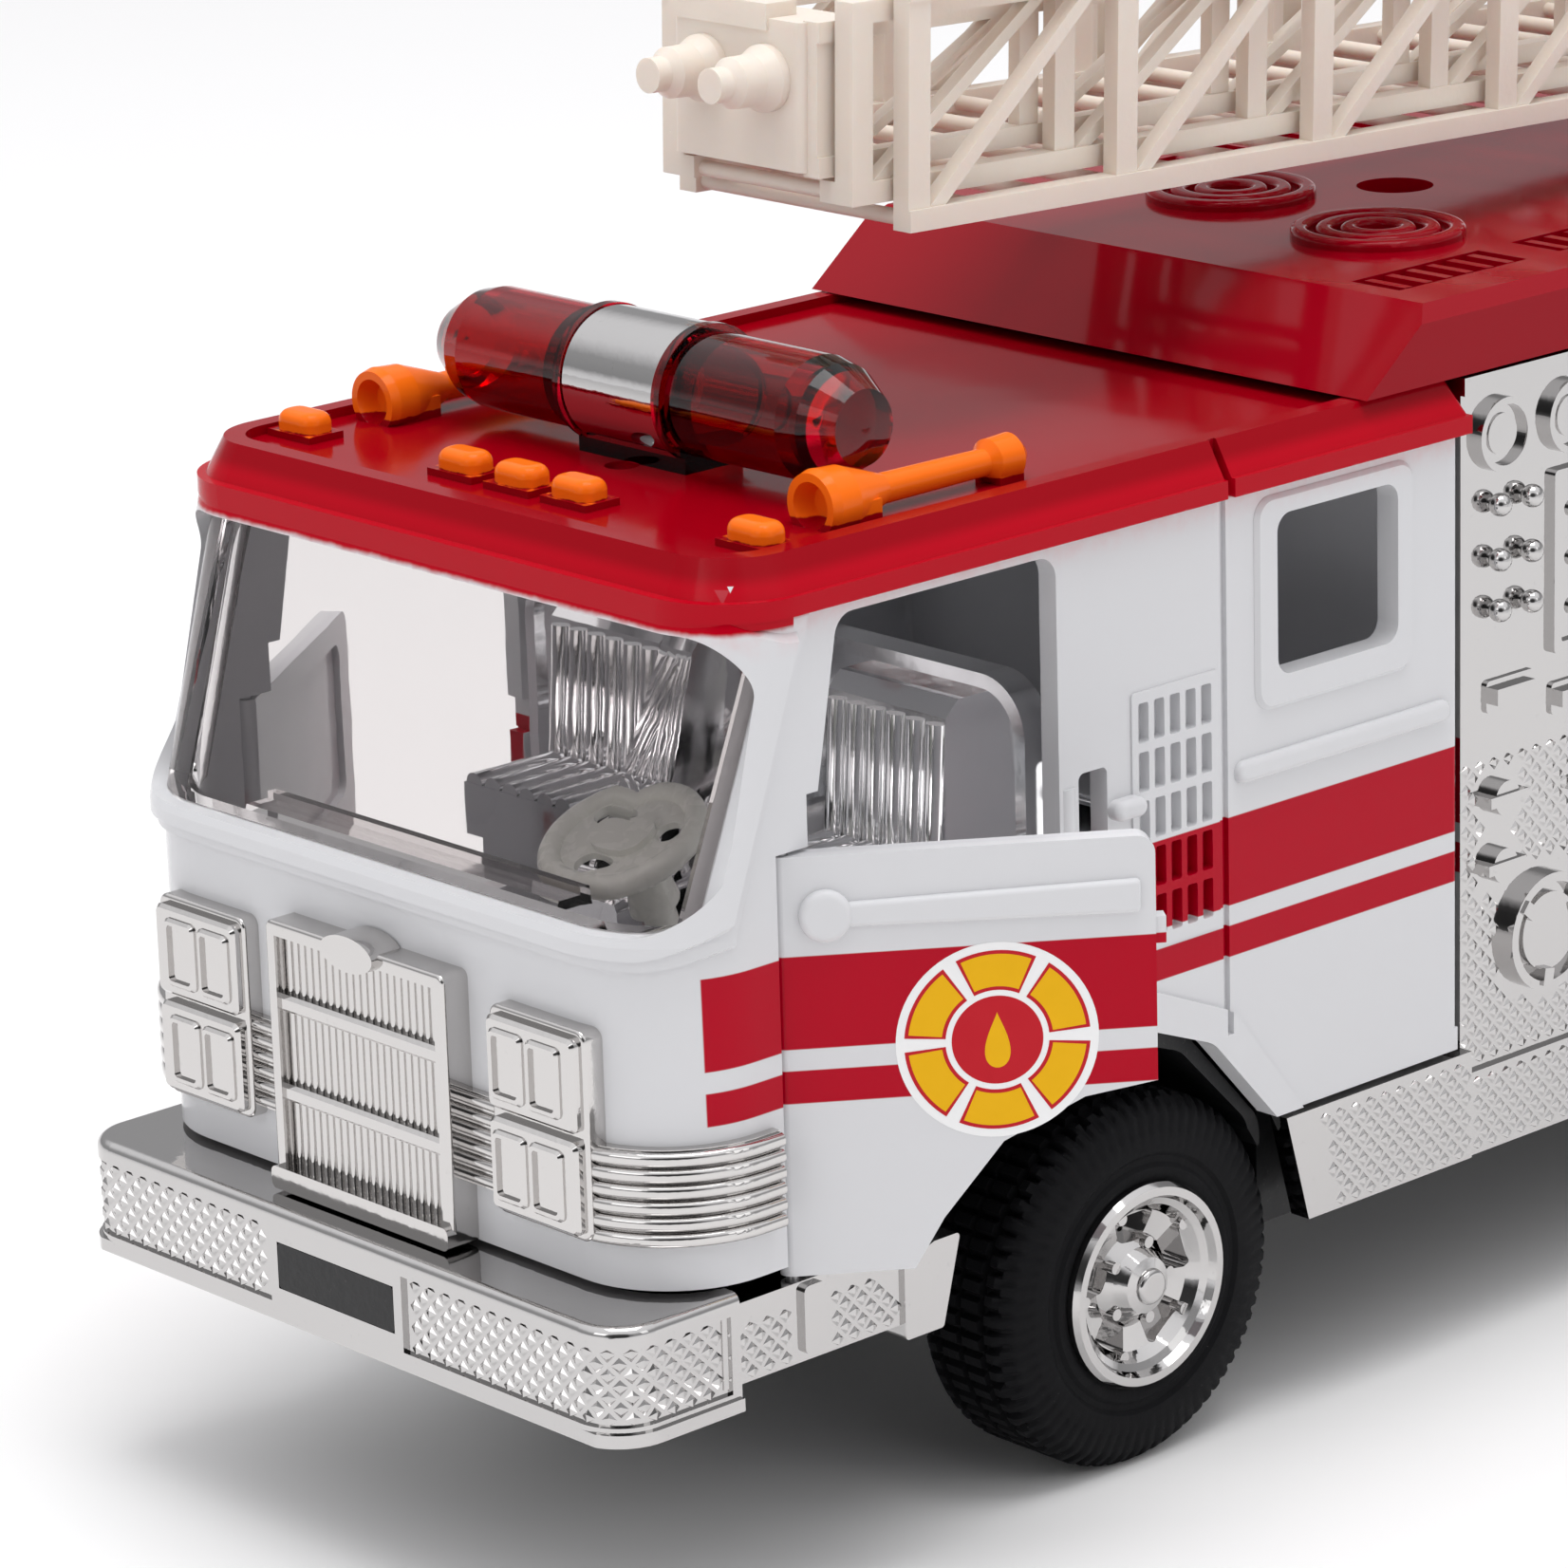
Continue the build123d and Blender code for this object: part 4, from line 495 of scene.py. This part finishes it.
# ---- raised tread plate on the chrome parts ------------------------------------------------
def tread(name, surface, length, height, keep=None, pitch=PLATE_PITCH, rise=0.2):
    """Staggered raised diamonds on a surface(s, t) -> (place, outward normal)."""
    verts, faces = [], []
    rows = max(1, round(height / (pitch * 0.5)))
    columns = max(1, round(length / pitch))
    dt = height / rows
    ds = length / columns
    for row in range(rows):
        for column in range(columns):
            s = (column + (0.75 if row % 2 else 0.25)) * ds
            t = (row + 0.5) * dt
            if keep and not keep(s, t):
                continue
            corners = []
            for a, b in ((-0.40, 0.0), (0.0, -0.80), (0.40, 0.0), (0.0, 0.80)):
                point, normal = surface(s + a * ds, min(max(t + b * dt, 0.02), height - 0.02))
                corners.append(Vector(point) - Vector(normal) * 0.03)
            point, normal = surface(s, t)
            long_axis = (corners[3] - corners[1]).normalized()
            ridge = Vector(point) + Vector(normal) * rise
            first = len(verts)
            verts += [tuple(c) for c in corners]
            verts += [tuple(ridge - long_axis * dt * 0.34), tuple(ridge + long_axis * dt * 0.34)]
            faces += [tuple(first + k for k in f) for f in
                      ((0, 1, 4), (0, 4, 5), (0, 5, 3), (2, 4, 1), (2, 5, 4), (2, 3, 5), (3, 2, 1, 0))]
    return piece(name, verts, faces, "truck_body", CHROME)


def bumper_path(half, radius, rear, front):
    """Walk round the front of the bumper from one side to the other."""
    run = rear - front - radius
    arc = math.pi / 2 * radius
    across = 2 * (half - radius)
    total = 2 * run + 2 * arc + across

    def at(s):
        if s < run:
            return (-half, rear - s), (-1, 0)
        s -= run
        if s < arc:
            a = s / radius
            x = -half + radius - radius * math.cos(a)
            u = front + radius - radius * math.sin(a)
            return (x, u), (-math.cos(a), -math.sin(a))
        s -= arc
        if s < across:
            return (-half + radius + s, front), (0, -1)
        s -= across
        if s < arc:
            a = s / radius
            x = half - radius + radius * math.sin(a)
            u = front + radius - radius * math.cos(a)
            return (x, u), (math.sin(a), -math.cos(a))
        s -= arc
        return (half, front + radius + s), (1, 0)
    return at, total


BUMPER_AT, BUMPER_RUN = bumper_path(28.12, 3.32, 9.3, 0.28)


def bumper_surface(s, t):
    (x, u), (nx, nu) = BUMPER_AT(s)
    return (x, u, 17.35 + t), (nx, nu, 0)


def off_plate(s, t):
    (x, u), _ = BUMPER_AT(s)
    return abs(x) > 7.9 or u > 2


tread("bumper_tread", bumper_surface, BUMPER_RUN, 5.3, off_plate)


def flat_side(hand, x, u0, z0):
    def at(s, t):
        return (hand * x, u0 + s, z0 + t), (hand, 0, 0)
    return at


for hand, word in ((1, "left"), (-1, "right")):
    def off_step(s, t):
        u = FRONT_SKIRT_U + s
        return abs(u - 17.3) > 1.8 and not (u > 23.5 and t > 2.6)
    skirt = flat_side(hand, 28.2, FRONT_SKIRT_U, 17.9)
    tread(word + "_front_skirt_tread", skirt, 15.2, 3.9, off_step)

    def in_skirt(s, t):
        return REAR_SKIRT_U + s > 65.9 + (8.0 - t) * 0.27
    skirt = flat_side(hand, 28.3, REAR_SKIRT_U, 14.5)
    tread(word + "_rear_skirt_tread", skirt, 17.2, 7.3, in_skirt)

    def clear_of_fittings(s, t):
        u, z = PUMP_U + s, PUMP_Z + t
        return all(math.hypot(u - a, z - b) > r for a, b, r in PUMP_FITTINGS)
    pump = flat_side(hand, 27.6, PUMP_U, PUMP_Z)
    tread(word + "_pump_tread", pump, 29.0, 22.6, clear_of_fittings)
    tread(word + "_sill_tread", flat_side(hand, 28.0, 82.6, 14.6), 58.0, 5.6)


# ---- tyres -------------------------------------------------------------------------------
def tyre_shape(width):
    """Profile points (across, radius, zone) of one tyre, outer face at 0."""
    shoulder = TYRE_R - 0.9
    half = width / 2
    groove = TYRE_R - 0.75
    side = [
        (0.9, RIM_R - 0.25, "bead"), (0.25, RIM_R - 0.05, "bead"),
        (0.0, RIM_R + 0.45, "bead"), (0.0, RIM_R + 0.95, "wall"),
        (0.22, RIM_R + 1.25, "wall"), (0.22, RIM_R + 1.7, "wall"),
        (-0.02, RIM_R + 2.0, "wall"), (-0.02, RIM_R + 3.3, "wall"),
        (0.12, RIM_R + 3.8, "rib"), (0.34, shoulder - 0.15, "rib"),
        (0.62, shoulder + 0.25, "rib"), (1.05, TYRE_R - 0.28, "rib"),
        (1.5, TYRE_R, "block"), (2.2, TYRE_R, "block"),
        (2.3, groove, "groove"), (2.75, groove, "groove"),
        (2.85, TYRE_R, "inner"), (half - 0.28, TYRE_R, "inner"), (half - 0.2, groove, "groove"),
    ]
    far = [(width - a, r, zone) for a, r, zone in reversed(side)]
    return side + far


def tyre(name, hand, u, out, width, node, body):
    profile = tyre_shape(width)
    steps = TYRE_STEPS
    verts, faces = [], []
    for i in range(steps):
        angle = 2 * math.pi * i / steps
        for across, radius, zone in profile:
            if zone == "rib":
                radius -= 0.30 if i % 5 < 2 else 0.0
            elif zone == "block":
                shift = 3 if across > width / 2 else 0
                radius -= 0.55 if (i + shift) % 6 < 2 else 0.0
            elif zone == "inner":
                radius -= 0.5 if (i + 3) % 6 < 2 else 0.0
            verts.append((
                hand * (out - across),
                u + radius * math.cos(angle), TYRE_R + radius * math.sin(angle)))
    n = len(profile)
    for i in range(steps):
        j = (i + 1) % steps
        for k in range(n):
            m = (k + 1) % n
            quad = (i * n + k, i * n + m, j * n + m, j * n + k)
            faces.append(quad if hand > 0 else quad[::-1])
    return piece(name, verts, faces, body, RUBBER, 34.0, (node,))


for hand, word in ((1, "left"), (-1, "right")):
    tyre(word + "_front_tyre", hand, WHEELS["front"], 27.0, 9.4, "front_tyres", "front_wheels")
    tyre(word + "_rear_outer_tyre", hand, WHEELS["rear"], 26.8, 8.2, "rear_tyres", "rear_wheels")
    tyre(word + "_rear_inner_tyre", hand, WHEELS["rear"], 18.0, 8.2, "rear_tyres", "rear_wheels")


# ---- door badge ----------------------------------------------------------------------------
def door_point(hand, u, z, lift):
    """A point on the outside of an open door, given where it is with the door shut."""
    dx = SIDE + lift - DOOR_HINGE[0]
    du = u - DOOR_HINGE[1]
    cos, sin = math.cos(DOOR_OPEN), math.sin(DOOR_OPEN)
    return (
        hand * (DOOR_HINGE[0] + dx * cos + du * sin), DOOR_HINGE[1] - dx * sin + du * cos, z)


def printed_sheet(name, hand, rings, base, top, material):
    """Thin closed patches; a ring lists (du, dz) round the badge centre, counter-clockwise."""
    verts, faces = [], []
    for ring in rings:
        n = len(ring)
        first = len(verts)
        for lift in (base, top):
            verts += [
                door_point(hand, BADGE[0] + du, BADGE[1] + dz, lift) for du, dz in ring]
        back = tuple(first + k for k in range(n))
        front = tuple(first + n + k for k in range(n))
        loops = [front, back[::-1]]
        loops += [
            (first + k, first + (k + 1) % n, first + n + (k + 1) % n, first + n + k)
            for k in range(n)]
        faces += [f if hand > 0 else f[::-1] for f in loops]
    body = "left_door" if hand > 0 else "right_door"
    return piece(name, verts, faces, body, material)


def circle(radius, n=72):
    return [
        (radius * math.cos(2 * math.pi * i / n), radius * math.sin(2 * math.pi * i / n))
        for i in range(n)]


def ring_segment(inner, outer, a0, a1, n=14):
    """A slice of a ring between two angles, in degrees."""
    points = []
    for i in range(n + 1):
        a = math.radians(a0 + (a1 - a0) * i / n)
        points.append((outer * math.cos(a), outer * math.sin(a)))
    for i in range(n + 1):
        a = math.radians(a1 - (a1 - a0) * i / n)
        points.append((inner * math.cos(a), inner * math.sin(a)))
    return points


def flame(scale):
    """A plain drop, point up."""
    points = []
    for i in range(48):
        a = 2 * math.pi * i / 48
        wide = math.sin(a) * math.sin(a / 2) ** 1.4
        points.append((scale * 0.62 * wide, scale * math.cos(a)))
    return points[::-1]


for hand, word in ((1, "left"), (-1, "right")):
    printed_sheet(word + "_badge_ground", hand, [circle(BADGE_R + 0.55)], -0.02, 0.03, INK_WHITE)
    sectors = [ring_segment(3.4, BADGE_R, 60 * i + 4.5, 60 * i + 55.5) for i in range(6)]
    printed_sheet(word + "_badge_outline", hand, sectors, 0.0, 0.045, INK_RED)
    sectors = [ring_segment(3.65, BADGE_R - 0.25, 60 * i + 6.7, 60 * i + 53.3) for i in range(6)]
    printed_sheet(word + "_badge_ring", hand, sectors, 0.0, 0.06, INK_GOLD)
    printed_sheet(word + "_badge_centre", hand, [circle(3.0)], 0.0, 0.045, INK_RED)
    printed_sheet(word + "_badge_drop", hand, [flame(1.9)], 0.0, 0.06, INK_GOLD)


# ---- camera, floor and light ------------------------------------------------------------------
def camera():
    data = bpy.data.cameras.new("camera")
    data.lens = LENS
    data.sensor_fit = "HORIZONTAL"
    data.sensor_width = SENSOR
    data.clip_start = 0.01
    data.clip_end = 50.0
    thing = bpy.data.objects.new("camera", data)
    bpy.context.scene.collection.objects.link(thing)
    azimuth, elevation, roll = (math.radians(a) for a in CAMERA_TURN)
    back = Vector((
        math.sin(azimuth) * math.cos(elevation), -math.cos(azimuth) * math.cos(elevation),
        math.sin(elevation)))
    level = Vector((math.cos(azimuth), math.sin(azimuth), 0.0))
    rise = back.cross(level)
    right = level * math.cos(roll) + rise * math.sin(roll)
    up = rise * math.cos(roll) - level * math.sin(roll)
    axes = Matrix((right, up, back)).transposed().to_4x4()
    thing.matrix_world = Matrix.Translation(Vector(CAMERA_PLACE) * MM) @ axes
    bpy.context.scene.camera = thing


def floor():
    mesh = bpy.data.meshes.new("floor")
    size = 4.0
    corners = [(-size, -size, 0), (size, -size, 0), (size, size, 0), (-size, size, 0)]
    mesh.from_pydata(corners, [], [(0, 1, 2, 3)])
    shade = Shade("floor_card", (1.0, 1.0, 1.0), 0.6, Specular_IOR_Level=0.1)
    cloud = shade.vary(shade.noise(60.0, 2.0), 0.0, 0.5)
    shade.colour(shade.paint(cloud, (0.93, 0.925, 0.92), (0.91, 0.905, 0.90)))
    mesh.materials.append(shade.mat)
    thing = bpy.data.objects.new("floor", mesh)
    bpy.context.scene.collection.objects.link(thing)


def area_light(name, spot, target, size, watts, colour=(1, 1, 1)):
    data = bpy.data.lights.new(name, "AREA")
    data.shape = "RECTANGLE"
    data.size, data.size_y = size
    data.energy = watts
    data.color = colour
    thing = bpy.data.objects.new(name, data)
    bpy.context.scene.collection.objects.link(thing)
    thing.location = spot
    thing.rotation_euler = (Vector(target) - Vector(spot)).to_track_quat("-Z", "Y").to_euler()


def sky():
    """Soft overhead light that falls off towards the walls, with a dim patch at DIM_SIDE."""
    world = bpy.data.worlds.new("studio")
    bpy.context.scene.world = world
    world.use_nodes = True
    tree = world.node_tree
    coords = tree.nodes.new("ShaderNodeTexCoord")
    split = tree.nodes.new("ShaderNodeSeparateXYZ")
    ramp = tree.nodes.new("ShaderNodeValToRGB")
    tree.links.new(coords.outputs["Generated"], split.inputs[0])
    tree.links.new(split.outputs[2], ramp.inputs[0])
    stops = ((0.0, 0.90), (0.06, 0.80), (0.16, 0.34), (0.42, 0.40), (0.62, 0.86), (0.9, 1.0))
    while len(ramp.color_ramp.elements) < len(stops):
        ramp.color_ramp.elements.new(0.5)
    for element, (position, grey) in zip(ramp.color_ramp.elements, stops):
        element.position = position
        element.color = (grey, grey, grey * 1.02, 1)
    toward = tree.nodes.new("ShaderNodeVectorMath")
    toward.operation = "DOT_PRODUCT"
    tree.links.new(coords.outputs["Generated"], toward.inputs[0])
    toward.inputs[1].default_value = DIM_SIDE
    dim = tree.nodes.new("ShaderNodeMapRange")
    tree.links.new(toward.outputs["Value"], dim.inputs["Value"])
    dim.inputs["From Min"].default_value = 0.86
    dim.inputs["From Max"].default_value = 0.96
    dim.inputs["To Min"].default_value = SKY_STRENGTH
    dim.inputs["To Max"].default_value = SKY_STRENGTH * 0.12
    background = tree.nodes["Background"]
    tree.links.new(ramp.outputs[0], background.inputs["Color"])
    tree.links.new(dim.outputs["Result"], background.inputs["Strength"])


camera()
floor()
sky()
area_light("key", (0.08, -0.06, 0.80), LIT_POINT, (0.5, 0.4), KEY_WATTS)
area_light("front", (0.10, -0.75, 0.42), LIT_POINT, (0.35, 0.25), FRONT_WATTS)
area_light("side", (0.80, 0.10, 0.42), LIT_POINT, (0.25, 0.35), SIDE_WATTS)
bpy.context.scene.view_settings.view_transform = "Standard"
